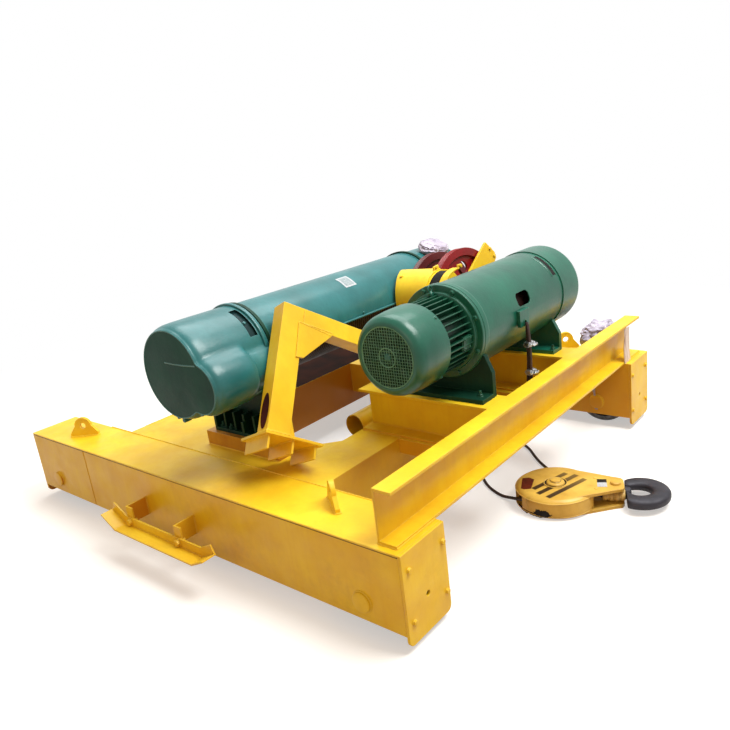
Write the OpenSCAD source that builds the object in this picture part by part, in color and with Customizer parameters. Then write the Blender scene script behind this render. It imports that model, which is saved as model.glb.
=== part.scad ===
// Hoist trolley of a double-girder overhead crane: a welded frame on four wheels with a main
// wire-rope hoist, a small auxiliary hoist, a pair of upper sheaves and the small hoist's hook block.
// Working frame: X along the end beams from their left ends, Y across the rails from the front beam
// to the rear beam, Z up from the deck surface. The finished model is moved so that it stands with its
// wheels on Z = 0 and is centred in X and Y.

/* [Frame] */
// Length of the end beams along the rails
frame_l = 2200; // [2150:10:2640]
// Distance between the front and the rear rail
rail_gauge = 1798; // [1760:2:2160]
// Width of an end beam
beam_w = 220; // [200:5:264]
// Depth of an end beam's webs below the deck
beam_h = 270; // [225:5:300]
// Thickness of an end beam's webs
web_t = 8; // [6:1:12]
// Thickness of the deck plates
deck_t = 10; // [8:1:14]
// Depth of the end plates below the deck
end_plate_h = 308; // [290:2:330]
// Thickness of the end plates
end_plate_t = 10; // [8:1:16]
// Depth of the longitudinal beams
long_h = 220; // [180:5:250]
// Left side of the left longitudinal beam
left_beam_x = 500; // [450:5:560]
// Width of the left longitudinal beam
left_beam_w = 330; // [280:5:396]
// Left side of the middle longitudinal beam
mid_beam_x = 1500; // [1470:5:1520]
// Width of the middle longitudinal beam
mid_beam_w = 200; // [180:5:220]
// Depth of the front cross deck, from the front beam to its rear edge
cross_deck_w = 275; // [240:5:300]
// Depth of the cross members below the deck
cross_h = 160; // [120:5:200]

/* [Right channel] */
// Back of the channel's web, from the frame's left end
channel_x = 2103; // [2095:1:2120]
// Height of the channel
channel_h = 179; // [150:1:215]
// Width of the channel's flanges
channel_flange = 68; // [56:1:75]
// Thickness of the channel's web
channel_web_t = 7; // [6:0.5:9]
// Thickness of the channel's flanges
channel_flange_t = 10; // [8:0.5:12]
// Distance from the frame's front and rear edges to the channel's ends
channel_setback = 25; // [5:1:40]

/* [Wheels] */
// Radius of a wheel's tread
wheel_r = 112; // [104:1:116]
// Radius of a wheel's flanges
flange_r = 125; // [119:1:132]
// Width of a wheel over both flanges
wheel_w = 90; // [80:2:110]
// Radius of a wheel's axle
axle_r = 34; // [28:1:40]
// Depth of the wheel axles below the deck
axle_depth = 205; // [195:1:215]
// Distance from a beam's end to the wheel axle
axle_inset = 168; // [160:1:200]

/* [Main hoist] */
// Axis of the main hoist, from the frame's left end
main_x = 1190; // [1170:5:1210]
// Height of the main hoist's axis above the deck
main_z = 405; // [395:5:430]
// Outer radius of the main drum casing
main_r = 178; // [170:1:186]
// Radius over the rope on the main drum
main_drum_r = 146; // [130:1:150]
// Front face of the main gear cover
main_y0 = 53; // [40:1:80]
// Front end of the main drum casing
main_y1 = 390; // [380:1:400]
// Length of the main drum casing
main_casing_l = 1080; // [1050:5:1110]
// Length of the motor cover behind the main casing
main_motor_l = 290; // [250:5:300]
// Height of the packing bars under the main hoist's feet
main_pack_h = 60; // [50:1:72]

/* [Small hoist] */
// Axis of the small hoist, from the frame's left end
small_x = 1878; // [1868:1:1888]
// Height of the small hoist's axis above its saddle beams
small_axis_h = 239; // [234:1:250]
// Radius of the small hoist's drum casing
small_r = 172; // [165:1:176]
// Front face of the fan cover
small_y0 = 432; // [420:1:440]
// Front face of the big motor flange
small_y1 = 780; // [770:1:790]
// Length of the small drum casing
small_casing_l = 630; // [610:1:645]
// Length of the small gear cover
small_gear_l = 180; // [160:1:200]
// Largest radius of the fan cover
fan_cover_r = 149; // [140:1:155]
// Width of the saddle beams under the small hoist
saddle_w = 136; // [120:2:140]
// Middle of the front saddle beam, from the frame's front edge
saddle_y = 744; // [740:1:750]
// Distance between the two saddle beams
saddle_pitch = 616; // [600:1:630]

/* [Upper sheaves] */
// Outer radius of the upper sheaves
sheave_r = 200; // [170:1:203]
// Width of an upper sheave
sheave_w = 36; // [32:1:40]
// Distance between the middles of the two upper sheaves
sheave_pitch = 160; // [150:1:164]
// Middle between the two upper sheaves, from the frame's left end
sheave_x = 1514; // [1511:1:1518]
// Middle between the two upper sheaves, from the frame's front edge
sheave_y = 1417; // [1410:1:1425]
// Height of the middle between the two upper sheaves above the deck
sheave_z = 404; // [395:1:415]
// Turn of the sheave assembly seen from above
sheave_turn = 10; // [8:0.5:11]
// Lean of the sheave assembly
sheave_lean = 8.3; // [7:0.1:9]
// Radius of the upper sheaves' pin
sheave_pin_r = 30; // [25:1:35]

/* [Hook block] */
// Radius of the hook block's round casing
block_r = 156; // [150:1:164]
// Thickness of the hook block's casing
block_w = 80; // [76:1:88]
// Direction of the hook from the block, seen from above
block_turn = 24.5; // [22:0.5:27]
// Inner radius of the hook
hook_in_r = 36; // [32:1:42]
// Radius of the hook's section
hook_bar_r = 33; // [28:1:36]

/* [Ropes] */
// Diameter of the small hoist's rope
rope_d = 13; // [11:1:14]

/* [Loose bracket] */
// Length of the bracket's post
post_l = 489; // [450:1:530]
// Length of the bracket's arm in front of the post
arm_l = 620; // [600:10:640]

/* [Hidden] */

// Small working values
fit = 0.05;          // radial clearance of a running fit
seat = 0.3;          // gap under a soft piece
cut = 1;             // how far a cutting solid runs past a face
$fn = 48;

// Frame
depth = rail_gauge + beam_w;
inner_y0 = beam_w;
inner_y1 = rail_gauge;
left_beam_x1 = left_beam_x + left_beam_w;
mid_beam_x1 = mid_beam_x + mid_beam_w;
cross_deck_y1 = inner_y0 + cross_deck_w;
channel_x1 = channel_x + channel_flange;
rear_deck_w = 260;
small_member_w = 190;
small_member_h = 60;
bay_l = 2 * axle_inset;                 // length of a wheel bay
striker_reach = 150;                    // how far the striker bar stands out in front
ground_z = -(axle_depth + flange_r);
axle_out = 6;                           // how far an axle stands out of the web
end_hole_r = 9;                         // buffer hole in an end plate
end_hole_depth = 184;
corner_gusset_w = 60;
member_front = [82, 95];                // front edges of the small members before the saddles' middles
mid_y = (depth + axle_out - striker_reach) / 2;

// Main hoist
main_y2 = main_y1 + main_casing_l;
main_plate_t = 14;                      // foot castings' upright plates
main_foot_w = 356;
main_foot_d = 70;
main_shaft_r = 30;
main_pack_y = [main_y1 - 93, main_y2 - 13];
main_pack_d = 100;
main_pack_w = 424;
main_foot_t = 14;
main_flange_t = 16;                     // flanges of the main drum
main_flange_out = 16;
lobe_r = 110;                           // motor side of the gear cover
lobe_at = [140, -39];

// Small hoist
small_z = channel_h - 1 + small_axis_h;
saddle_top = channel_h - 1;
saddle_rear_y = saddle_y + saddle_pitch;
small_plate_t = 20;
small_y2 = small_y1 + small_plate_t + small_casing_l;
small_foot_w = 384;
small_rear_foot_w = 342;
small_foot_t = 16;
small_shaft_r = 25;
saddle_x0 = mid_beam_x + 10;
saddle_l = channel_x - saddle_x0;

// Upper sheaves
side_plate_t = 12;
side_in = sheave_pitch / 2 + sheave_w / 2 + 8;   // inner face of a side plate from the middle
guard_r = 117;                             // curved guard plate in front of the sheaves
guard_t = 6;
guard_at = [-102, -176, 39];
guard_level = sheave_lean - 4;             // brings the guard back toward level
guard_l = small_x - small_r - sheave_x + 135;   // reaches the small casing's side
guard_disc_x = 212;                        // disc of the right side plate inside the guard
guard_slot = [215, 289];

// Hook block, flat on the ground
block_at = [2177, 1018];
block_z = ground_z + block_w / 2;
block_edge = 22;                           // rounding of the casing
cheek_t = 12;
block_axle_r = 22;
block_sheave_r = 134;
block_sheave_w = 40;
crosshead_pin_r = 16;
shank_r = 17;
rope_ways = [                              // where the rope passes through the casing's rim
    [[-100, -20], [-100, -100], [-220, -60], [-220, 20]],
    [[-30, 110], [85, 110], [75, 220], [-45, 220]],
];
crosshead_d = 222;                         // from the block's axle to the crosshead
crosshead_w = 50;
cheek_out = 32;                            // how far the cheeks run past the crosshead
hook_gap = 6;                              // clearance of the turning hook
hook_d = 311;                              // from the block's axle to the middle of the hook's bowl

// Rope of the small hoist: from its anchor down to the ground, round the block's sheave and
// back up to the drum
rope_r = rope_d / 2;
rope_sides = 10;

// Loose bracket: its own axes are X along the arm, Z along the post
bracket_tilt = [-26.5, 30.6, 69.3];
bracket_at = [1558, 134, 214];
base_l = 234;
base_w = 190;
base_t = 10;
post_w = 90;
post_d = 73;
arm_h = 67;
rib_h = 50;

module placed() {
    translate([-frame_l / 2, -mid_y, -ground_z]) children();
}

// A cylinder along Y
module rod_y(r, y0, y1, x = 0, z = 0) {
    translate([x, y0, z]) rotate([-90, 0, 0]) cylinder(r = r, h = y1 - y0);
}

// A cylinder along X
module rod_x(r, x0, x1, y = 0, z = 0) {
    translate([x0, y, z]) rotate([0, 90, 0]) cylinder(r = r, h = x1 - x0);
}

// A box from one corner to the other
module block(a, b) {
    translate(a) cube(b - a);
}

// Inside of a box beam from one corner to the other, with walls of thickness t
module hollow_block(a, b, t) {
    difference() {
        block(a, b);
        block([a.x + t, a.y - cut, a.z + t], [b.x - t, b.y + cut, b.z - t]);
    }
}

// ---- Frame -------------------------------------------------------------------------------------

module end_beam(y0) {
    x0 = end_plate_t;
    x1 = frame_l - end_plate_t;
    difference() {
        union() {
            block([x0, y0, -deck_t], [x1, y0 + beam_w, 0]);
            for (y = [y0, y0 + beam_w - web_t])
                block([x0, y, -beam_h], [x1, y + web_t, -deck_t / 2]);
            for (x = [bay_l, frame_l - bay_l - web_t])
                block([x, y0 + web_t / 2, -beam_h + web_t / 2],
                      [x + web_t, y0 + beam_w - web_t / 2, -deck_t / 2]);
            block([bay_l, y0, -beam_h], [frame_l - bay_l, y0 + beam_w, -beam_h + web_t]);
        }
        for (x = [axle_inset, frame_l - axle_inset])
            rod_y(axle_r + fit, y0 - cut, y0 + beam_w + cut, x, -axle_depth);
    }
}

module plates_of_beam(y0) {
    for (x = [0, frame_l - end_plate_t])
        difference() {
            block([x, y0, -end_plate_h], [x + end_plate_t, y0 + beam_w, 0]);
            rod_x(end_hole_r, x - cut, x + end_plate_t + cut, y0 + beam_w / 2, -end_hole_depth);
        }
}

module end_beams() {
    color("gold") for (y0 = [0, rail_gauge]) end_beam(y0);
}

module end_plates() {
    color("gold") for (y0 = [0, rail_gauge]) plates_of_beam(y0);
}

module left_longitudinal_beam() {
    color("gold") hollow_block([left_beam_x, inner_y0, -long_h], [left_beam_x1, inner_y1, 0], web_t);
}

module middle_longitudinal_beam() {
    color("gold") hollow_block([mid_beam_x, inner_y0, -long_h], [mid_beam_x1, inner_y1, 0], web_t);
}

// A deck plate between two longitudinal beams, with an upright web under each given edge
module deck_member(x0, x1, y0, y1, web_ys) {
    block([x0, y0, -deck_t], [x1, y1, 0]);
    for (y = web_ys)
        block([x0, y, -cross_h], [x1, y + web_t, -deck_t / 2]);
}

module cross_decks() {
    y0 = main_pack_y[1] - 77;
    y1 = y0 + rear_deck_w;
    color("gold") {
        deck_member(left_beam_x1, mid_beam_x, inner_y0, cross_deck_y1, [cross_deck_y1 - web_t]);
        deck_member(left_beam_x1, mid_beam_x, y0, y1, [y0, y1 - web_t]);
    }
}

// A shallow member between the middle beam and the channel
module small_member(y0) {
    y1 = y0 + small_member_w;
    block([mid_beam_x1, y0, -deck_t], [channel_x, y1, 0]);
    for (y = [y0, y1 - web_t])
        block([mid_beam_x1, y, -small_member_h], [channel_x, y + web_t, -deck_t / 2]);
}

module small_cross_members() {
    color("gold") {
        small_member(saddle_y - member_front[0]);
        small_member(saddle_rear_y - member_front[1]);
    }
}

module right_channel() {
    y0 = channel_setback;
    y1 = depth - channel_setback;
    color("gold") {
        block([channel_x, y0, 0], [channel_x + channel_web_t, y1, channel_h]);
        for (z = [0, channel_h - channel_flange_t])
            block([channel_x, y0, z], [channel_x1, y1, z + channel_flange_t]);
    }
}

// A flat corner gusset level with the deck; sx and sy point into the opening
module corner_gusset(at, sx, sy, size) {
    translate([at.x, at.y, -deck_t])
        linear_extrude(deck_t)
            polygon([[0, 0], [sx * size, 0], [0, sy * size]]);
}

module deck_corner_gussets() {
    color("gold") {
        corner_gusset([mid_beam_x, cross_deck_y1], -1, 1, corner_gusset_w);
        corner_gusset([left_beam_x1, cross_deck_y1], 1, 1, corner_gusset_w);
        corner_gusset([mid_beam_x1, inner_y0], 1, 1, corner_gusset_w);
        corner_gusset([mid_beam_x1, inner_y1], 1, -1, corner_gusset_w);
    }
}

// An upright lifting plate with a rounded top and a shackle hole
lug_w = 130;
lug_h = 88;
lug_t = 16;
lug_hole_z = 50;
lug_hole_r = 14;
lug_top_r = lug_h - lug_hole_z;
lug_turn = 36;
lug_places = [                             // X, Y and turn of each lug
    [313, 103, lug_turn], [frame_l - 373, 140, -lug_turn],
    [313, depth - 103, -lug_turn], [frame_l - 386, depth - 68, lug_turn],
];

module lug() {
    rotate([90, 0, 0]) translate([0, 0, -lug_t / 2])
        difference() {
            linear_extrude(lug_t) union() {
                polygon([[-lug_w / 2, 0], [lug_w / 2, 0], [lug_w / 2, 16],
                         [lug_top_r, lug_hole_z], [-lug_top_r, lug_hole_z], [-lug_w / 2, 16]]);
                translate([0, lug_hole_z]) circle(lug_top_r);
            }
            translate([0, lug_hole_z, -cut]) cylinder(r = lug_hole_r, h = lug_t + 2 * cut);
        }
}

module lifting_lugs() {
    color("gold") for (p = lug_places)
        translate([p.x, p.y, 0]) rotate([0, 0, p[2]]) lug();
}

// An angle bar in front of the front beam, with both ends bent up as ramps
striker_x = [892, 1385];
striker_z = -203;
striker_y = [-striker_reach, -90];
striker_leg = 40;
striker_t = 6;
striker_rise = [29, 25];                   // slope of the left and the right ramp
striker_ramp = [95, 76];                   // length of the ramps

// A strip of height h that follows the bar's underside, from y0 to y1
module striker_strip(h, y0, y1) {
    a = striker_rise[0];
    b = striker_rise[1];
    left = [striker_x[0] - striker_ramp[0] * cos(a), striker_ramp[0] * sin(a)];
    right = [striker_x[1] + striker_ramp[1] * cos(b), striker_ramp[1] * sin(b)];
    translate([0, y1, striker_z]) rotate([90, 0, 0]) linear_extrude(y1 - y0)
        polygon([left, [striker_x[0], 0], [striker_x[1], 0], right,
                 right + [-h * sin(b), h * cos(b)], [striker_x[1] - h * tan(b / 2), h],
                 [striker_x[0] + h * tan(a / 2), h], left + [h * sin(a), h * cos(a)]]);
}

module striker_bar() {
    color("gold") {
        striker_strip(striker_t, striker_y[0], striker_y[1]);
        striker_strip(striker_leg, striker_y[1] - striker_t, striker_y[1]);
    }
}

// Two upright angles that hold the bar, each with one leg against it
striker_bracket_x = [905, 1218];
striker_bracket_z = [striker_z + 4, -122];
striker_bracket_leg = 42;

module striker_brackets() {
    front = striker_y[1];
    color("gold") for (x = striker_bracket_x) {
        block([x, front, striker_bracket_z[0]], [x + striker_t, 0, striker_bracket_z[1]]);
        block([x, front, striker_bracket_z[0]],
              [x + striker_bracket_leg, front + striker_t, striker_bracket_z[1]]);
    }
}

// A piece of pipe welded along the middle beam's edge
pipe_r = 48;
pipe_y = [690, 1120];
pipe_z = 4;

module edge_pipe() {
    color("gold") difference() {
        rod_y(pipe_r, pipe_y[0], pipe_y[1], mid_beam_x - pipe_r, pipe_z);
        rod_y(pipe_r - 4, pipe_y[0] - cut, pipe_y[1] + cut, mid_beam_x - pipe_r, pipe_z);
    }
}

// ---- Wheels ------------------------------------------------------------------------------------

module wheel_set(y0) {
    yc = y0 + beam_w / 2;
    for (x = [axle_inset, frame_l - axle_inset]) {
        rod_y(axle_r, y0 - axle_out, y0 + beam_w + axle_out, x, -axle_depth);
        rod_y(wheel_r, yc - wheel_w / 2, yc + wheel_w / 2, x, -axle_depth);
        for (s = [-1, 1])
            rod_y(flange_r, yc + s * wheel_w / 2 - (s < 0 ? 0 : 16),
                  yc + s * wheel_w / 2 + (s < 0 ? 16 : 0), x, -axle_depth);
    }
}

module wheels() {
    color("dimgray") for (y0 = [0, rail_gauge]) wheel_set(y0);
}

// ---- Main hoist --------------------------------------------------------------------------------

module main_packing_bars() {
    color("darkgoldenrod") for (y = main_pack_y)
        block([main_x - main_pack_w / 2, y, 0], [main_x + main_pack_w / 2, y + main_pack_d, main_pack_h]);
}

// Round cover with a softened front edge, along Y, from y0 to y1
module round_cover(r, y0, y1, edge, x, z) {
    translate([x, y0, z]) rotate([-90, 0, 0])
        rotate_extrude() polygon(concat(
            [[0, 0]],
            [for (a = [0:15:90]) [r - edge + edge * sin(a), edge - edge * cos(a)]],
            [[r, y1 - y0], [0, y1 - y0]]));
}

module main_gear_cover() {
    color("seagreen") {
        round_cover(main_r + 3, main_y0, main_y1 - main_plate_t, 30, main_x, main_z);
        round_cover(lobe_r, main_y0, main_y0 + 207, 20, main_x + lobe_at.x, main_z + lobe_at.y);
        round_cover(lobe_r - 23, main_y0 + 190, main_y1 - main_plate_t, 10, main_x + lobe_at.x,
                    main_z + lobe_at.y);
    }
}

// Upright foot casting: a round plate on a flat foot; y0 is the front of the plate, ribs are places
// across the foot, as shares of its half width, and shoulder is where the sloping sides leave the
// round part, as shares of r
module foot_casting(x, z, r, y0, t, foot_w, foot_y0, foot_y1, foot_z, foot_t, shaft_r,
                    ribs = [], shoulder = [0.93, 0.37], knee = 80) {
    difference() {
        union() {
            rod_y(r, y0, y0 + t, x, z);
            translate([x, y0 + t, 0]) rotate([90, 0, 0]) linear_extrude(t)
                polygon([[-foot_w / 2, foot_z], [foot_w / 2, foot_z], [foot_w / 2, foot_z + knee],
                         [r * shoulder.x, z - r * shoulder.y], [-r * shoulder.x, z - r * shoulder.y],
                         [-foot_w / 2, foot_z + knee]]);
            block([x - foot_w / 2, foot_y0, foot_z], [x + foot_w / 2, foot_y1, foot_z + foot_t]);
            for (s = ribs)
                translate([x + s * (foot_w / 2 - 6), 0, 0])
                    block([-6, foot_y0, foot_z], [6, foot_y1, foot_z + 60]);
        }
        rod_y(shaft_r + fit, y0 - cut, y0 + t + cut, x, z);
    }
}

module main_front_foot() {
    color("darkgreen") foot_casting(main_x, main_z, main_r + 9, main_y1 - main_plate_t, main_plate_t,
        main_foot_w, main_y1 - main_foot_d, main_y1, main_pack_h, main_foot_t, main_shaft_r, [-1, 0, 1]);
}

module main_rear_foot() {
    color("darkgreen") foot_casting(main_x, main_z, main_r + 9, main_y2, main_plate_t,
        main_foot_w, main_y2, main_y2 + main_foot_d, main_pack_h, main_foot_t, main_shaft_r, [-1, 0, 1]);
}

// Upper half of a sheet casing over the drum, with turned-out lower edges
module main_casing() {
    sheet = 5;
    rim_z = main_z + 5;
    color("seagreen") {
        difference() {
            rod_y(main_r, main_y1, main_y2, main_x, main_z);
            rod_y(main_r - sheet, main_y1 - cut, main_y2 + cut, main_x, main_z);
            block([main_x - main_r - cut, main_y1 - cut, main_z - main_r - cut],
                  [main_x + main_r + cut, main_y2 + cut, rim_z]);
        }
        for (s = [-1, 1])
            translate([main_x + s * (main_r + 1), 0, 0])
                block([-6, main_y1, rim_z], [6, main_y2, rim_z + 4]);
    }
}

module main_drum() {
    color("maroon") {
        rod_y(main_drum_r, main_y1 + 20, main_y2 - 20, main_x, main_z);
        for (y = [main_y1 + 8, main_y2 - 8 - main_flange_t])
            rod_y(main_drum_r + main_flange_out, y, y + main_flange_t, main_x, main_z);
        rod_y(main_shaft_r, main_y1 - main_plate_t, main_y2 + main_plate_t, main_x, main_z);
    }
}

module main_motor_cover() {
    y0 = main_y2 + main_plate_t;
    translate([0, 2 * y0 + main_motor_l, 0]) mirror([0, 1, 0]) color("seagreen")
        round_cover(main_r - 4, y0, y0 + main_motor_l, 40, main_x, main_z);
}

// ---- Small hoist -------------------------------------------------------------------------------

module saddle(y) {
    block([saddle_x0, y - saddle_w / 2, saddle_top - 10], [channel_x, y + saddle_w / 2, saddle_top]);
    block([saddle_x0, y - 4, 0], [channel_x, y + 4, saddle_top]);
    block([saddle_x0, y - saddle_w / 2, 0], [channel_x, y + saddle_w / 2, 10]);
}

module small_saddles() {
    color("orange") for (y = [saddle_y, saddle_rear_y]) saddle(y);
}

fan_cover_l = 166;
grille_r = 110;
cover_sheet = 4;

module small_fan_cover() {
    color("seagreen") translate([small_x, small_y0, small_z]) rotate([-90, 0, 0])
        rotate_extrude() polygon([
            [grille_r, 0], [grille_r + 8, 0], [fan_cover_r - 16, 14], [fan_cover_r - 8, 32],
            [fan_cover_r, 110], [fan_cover_r, fan_cover_l],
            [fan_cover_r - cover_sheet, fan_cover_l], [fan_cover_r - cover_sheet, 110],
            [fan_cover_r - 12, 34], [fan_cover_r - 20, 18], [grille_r, 6]]);
}

module small_fan_grille() {
    color("darkgreen") rod_y(grille_r, small_y0 + 2, small_y0 + 5, small_x, small_z);
}

fin_count = 36;
motor_body_r = 112;
fin_r = fan_cover_r - cover_sheet - 4;

module small_motor_body() {
    y0 = small_y0 + 70;
    color("darkgreen") translate([small_x, 0, small_z]) {
        rod_y(motor_body_r, y0, small_y1);
        for (i = [0:fin_count - 1])
            rotate([0, i * 360 / fin_count, 0])
                block([motor_body_r - 4, y0 + 40, -2], [fin_r, small_y1, 2]);
        for (i = [0:3])
            rotate([0, 45 + i * 90, 0])
                block([motor_body_r - 4, small_y0 + fan_cover_l - 20, -10],
                      [fan_cover_r - cover_sheet - 0.5, small_y0 + fan_cover_l - 8, 10]);
    }
}

module small_front_foot() {
    color("seagreen") foot_casting(small_x, small_z, small_r + 5, small_y1, small_plate_t,
        small_foot_w, small_y1 - 77, small_y1 + small_plate_t, saddle_top, small_foot_t, small_shaft_r,
        shoulder = [0.92, 0.46], knee = 95);
}

module small_rear_foot() {
    y = saddle_rear_y + 20;
    color("seagreen") difference() {
        foot_casting(small_x, small_z, small_r - 1, y, small_plate_t,
            small_rear_foot_w, y - 60, y + small_plate_t, saddle_top, small_foot_t, small_shaft_r,
            shoulder = [0.83, 0.63], knee = 76);
        rod_y(small_r + fit, y - 70, y + small_plate_t + cut, small_x, small_z);
    }
}

module small_casing() {
    sheet = 5;
    color("seagreen") difference() {
        rod_y(small_r, small_y1 + small_plate_t, small_y2, small_x, small_z);
        rod_y(small_r - sheet, small_y1 + small_plate_t - cut, small_y2 + cut, small_x, small_z);
        // the rope's way out below
        block([small_x - small_r - cut, small_y1 + 70, small_z - small_r - cut],
              [small_x + 40, small_y2 - 120, small_z - 50]);
        // inspection hole in the right side
        translate([small_x, 1097, small_z]) rotate([0, 71, 0]) translate([0, 0, small_r - 30])
            linear_extrude(40) offset(r = 20) square([14, 60], center = true);
    }
}

small_drum_r = 138;

module small_drum() {
    color("maroon") {
        rod_y(small_drum_r, small_y1 + small_plate_t + 12, small_y2 - 12, small_x, small_z);
        rod_y(small_shaft_r, small_y1, small_y2, small_x, small_z);
    }
}

module small_gear_cover() {
    color("seagreen") translate([0, 2 * small_y2 + small_gear_l, 0]) mirror([0, 1, 0])
        round_cover(small_r + 4, small_y2, small_y2 + small_gear_l, 36, small_x, small_z);
}

// Plate on the casing's right side that holds the rope's fixed end
anchor_y = 1058;

module rope_anchor() {
    color("seagreen") translate([small_x + small_r, 0, 0])
        difference() {
            rotate([90, 0, 90]) linear_extrude(14)
                polygon([[anchor_y - 38, 438], [anchor_y + 38, 438], [anchor_y + 34, 374],
                         [anchor_y - 34, 374]]);
            rod_x(8, -cut, 14 + cut, anchor_y, 388);
        }
}

// ---- Upper sheaves -----------------------------------------------------------------------------

// The assembly's own frame: X along the pin, origin between the two sheaves
module on_sheaves() {
    translate([sheave_x, sheave_y, sheave_z]) rotate([0, -sheave_lean, -sheave_turn]) children();
}

// An upright plate across the pin; p is its outline in Y and Z
module cheek(x, t, p) {
    translate([x, 0, 0]) rotate([90, 0, 90]) linear_extrude(t) polygon(p);
}

module sheave_side_plates() {
    reach = -sheave_z - 40;
    color("gold") difference() {
        on_sheaves() difference() {
            union() {
                cheek(-side_in - side_plate_t, side_plate_t,
                      [[-45, reach], [120, reach], [90, -120], [62, 20], [40, 52], [0, 66],
                       [-45, 50], [-64, 0]]);
                cheek(side_in, side_plate_t,
                      [[-120, reach], [120, reach], [150, -60], [182, 95], [203, 117], [199, 144],
                       [148, 198], [-36, 56], [-120, -10]]);
                on_guard() rod_x(guard_r - guard_t - seat, guard_disc_x, guard_disc_x + side_plate_t);
            }
            rod_x(sheave_pin_r + fit, -side_in - side_plate_t - cut, side_in + side_plate_t + cut);
            for (s = [-1, 1])
                rod_x(sheave_r + 10, s * sheave_pitch / 2 - sheave_w / 2 - 6,
                      s * sheave_pitch / 2 + sheave_w / 2 + 6);
        }
        // cut to fit the deck and the rear saddle beam
        block([left_beam_x1, inner_y0, -200], [small_x, inner_y1, 0]);
        block([saddle_x0, saddle_rear_y - saddle_w / 2, -cut],
              [channel_x, saddle_rear_y + saddle_w / 2, saddle_top]);
    }
}

// The guard's own frame, inside the assembly's: X along its axis from its left end
module on_guard() {
    translate(guard_at) rotate([0, guard_level, 0]) children();
}

// Curved plate in front of the sheaves, open on both sides of the right side plate for the ropes
module sheave_guard() {
    x0 = -50;
    color("gold") difference() {
        on_sheaves() on_guard() difference() {
            rod_x(guard_r, x0, guard_l);
            rod_x(guard_r - guard_t, x0 - cut, guard_l + cut);
            rotate([-24, 0, 0]) block([x0 - cut, -45, 0], [guard_l + cut, 200, 200]);
            rotate([60, 0, 0]) block([x0 - cut, -200, -200], [guard_l + cut, 200, 0]);
            block([guard_slot[0], -150, 46], [guard_slot[1], 20, 150]);
        }
        // its left end slants past the main casing
        translate([main_x + main_r + 14, 1145, 0]) rotate([0, 0, 19.7])
            block([-200, -100, 0], [0, 300, 800]);
    }
}

module sheave_pin() {
    color("dimgray") on_sheaves() {
        rod_x(sheave_pin_r, -side_in - side_plate_t - 14, side_in + side_plate_t + 14);
        rod_x(sheave_pin_r + 14, -(sheave_pitch - sheave_w) / 2 + 6,
              (sheave_pitch - sheave_w) / 2 - 6);
    }
}

// A rope sheave turning about the X axis: rim with a groove, web with round windows, hub
module sheave(r, w, bore_r, hub_r, windows) {
    difference() {
        rotate([0, 90, 0]) translate([0, 0, -w / 2]) rotate_extrude() polygon([
            [bore_r, 0], [hub_r, 0], [hub_r, w / 2 - 6], [r - 40, w / 2 - 6], [r - 34, 0],
            [r, 0], [r, 4], [r - 26, w / 2], [r, w - 4], [r, w], [r - 34, w], [r - 40, w / 2 + 6],
            [hub_r, w / 2 + 6], [hub_r, w], [bore_r, w]]);
        for (i = [0:windows - 1])
            rotate([i * 360 / windows, 0, 0]) translate([0, 0, (r - 40 + hub_r) / 2])
                rod_x((r - 40 - hub_r) * 0.32, -w, w);
    }
}

module upper_sheave(side) {
    color("firebrick") on_sheaves() translate([side * sheave_pitch / 2, 0, 0])
        sheave(sheave_r, sheave_w, sheave_pin_r + fit, 60, 5);
}

module upper_sheave_left() { upper_sheave(-1); }
module upper_sheave_right() { upper_sheave(1); }

// ---- Hook block --------------------------------------------------------------------------------

module on_block() {
    translate([block_at.x, block_at.y, block_z]) rotate([0, 0, block_turn]) children();
}

// Half outline of the round casing: a disc with rounded edges, open inside for the sheave
module block_casing() {
    h = block_w / 2;
    e = block_edge;
    color("gold") on_block() difference() {
        union() {
            rotate_extrude() polygon(concat(
                [[0, -h]],
                [for (a = [0:15:90]) [block_r - e + e * sin(a), -h + e - e * cos(a)]],
                [for (a = [0:15:90]) [block_r - e + e * cos(a), h - e + e * sin(a)]],
                [[0, h]]));
            // two cheeks that hold the crosshead
            for (z = [-h, h - cheek_t])
                translate([0, 0, z]) linear_extrude(cheek_t)
                    polygon([[60, -block_r + 34], [crosshead_d - 10, -58], [crosshead_d + 24, -46],
                             [crosshead_d + cheek_out, -30], [crosshead_d + cheek_out, 30],
                             [crosshead_d + 24, 46], [crosshead_d - 10, 58], [60, block_r - 34]]);
        }
        // room for the sheave, open towards the rope and towards the crosshead
        translate([0, 0, -h + cheek_t]) cylinder(r = block_r - 14, h = block_w - 2 * cheek_t);
        translate([0, 0, -h + cheek_t]) linear_extrude(block_w - 2 * cheek_t)
            polygon([[60, -70], [block_r + 20, -70], [block_r + 20, 70], [60, 70]]);
        for (way = rope_ways)
            translate([0, 0, -h + cheek_t]) linear_extrude(block_w - 2 * cheek_t) polygon(way);
        translate([0, 0, -h - cut]) cylinder(r = block_axle_r + fit, h = block_w + 2 * cut);
        translate([crosshead_d, 0, -h - cut]) cylinder(r = crosshead_pin_r + fit, h = block_w + 2 * cut);
    }
}

module block_sheave() {
    color("maroon") on_block() rotate([0, 90, 0])
        sheave(block_sheave_r, block_sheave_w, block_axle_r + fit, 44, 5);
}

module block_axle() {
    color("dimgray") on_block()
        translate([0, 0, -block_w / 2]) cylinder(r = block_axle_r, h = block_w + 10);
}

module block_crosshead() {
    h = block_w / 2 - cheek_t - 1;
    color("dimgray") on_block() translate([crosshead_d, 0, 0]) difference() {
        union() {
            block([-crosshead_w / 2, -46, -h], [crosshead_w / 2, 46, h]);
            translate([0, 0, -block_w / 2]) cylinder(r = crosshead_pin_r, h = block_w);
        }
        rod_x(shank_r + fit, -40, 40);
    }
}

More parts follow.
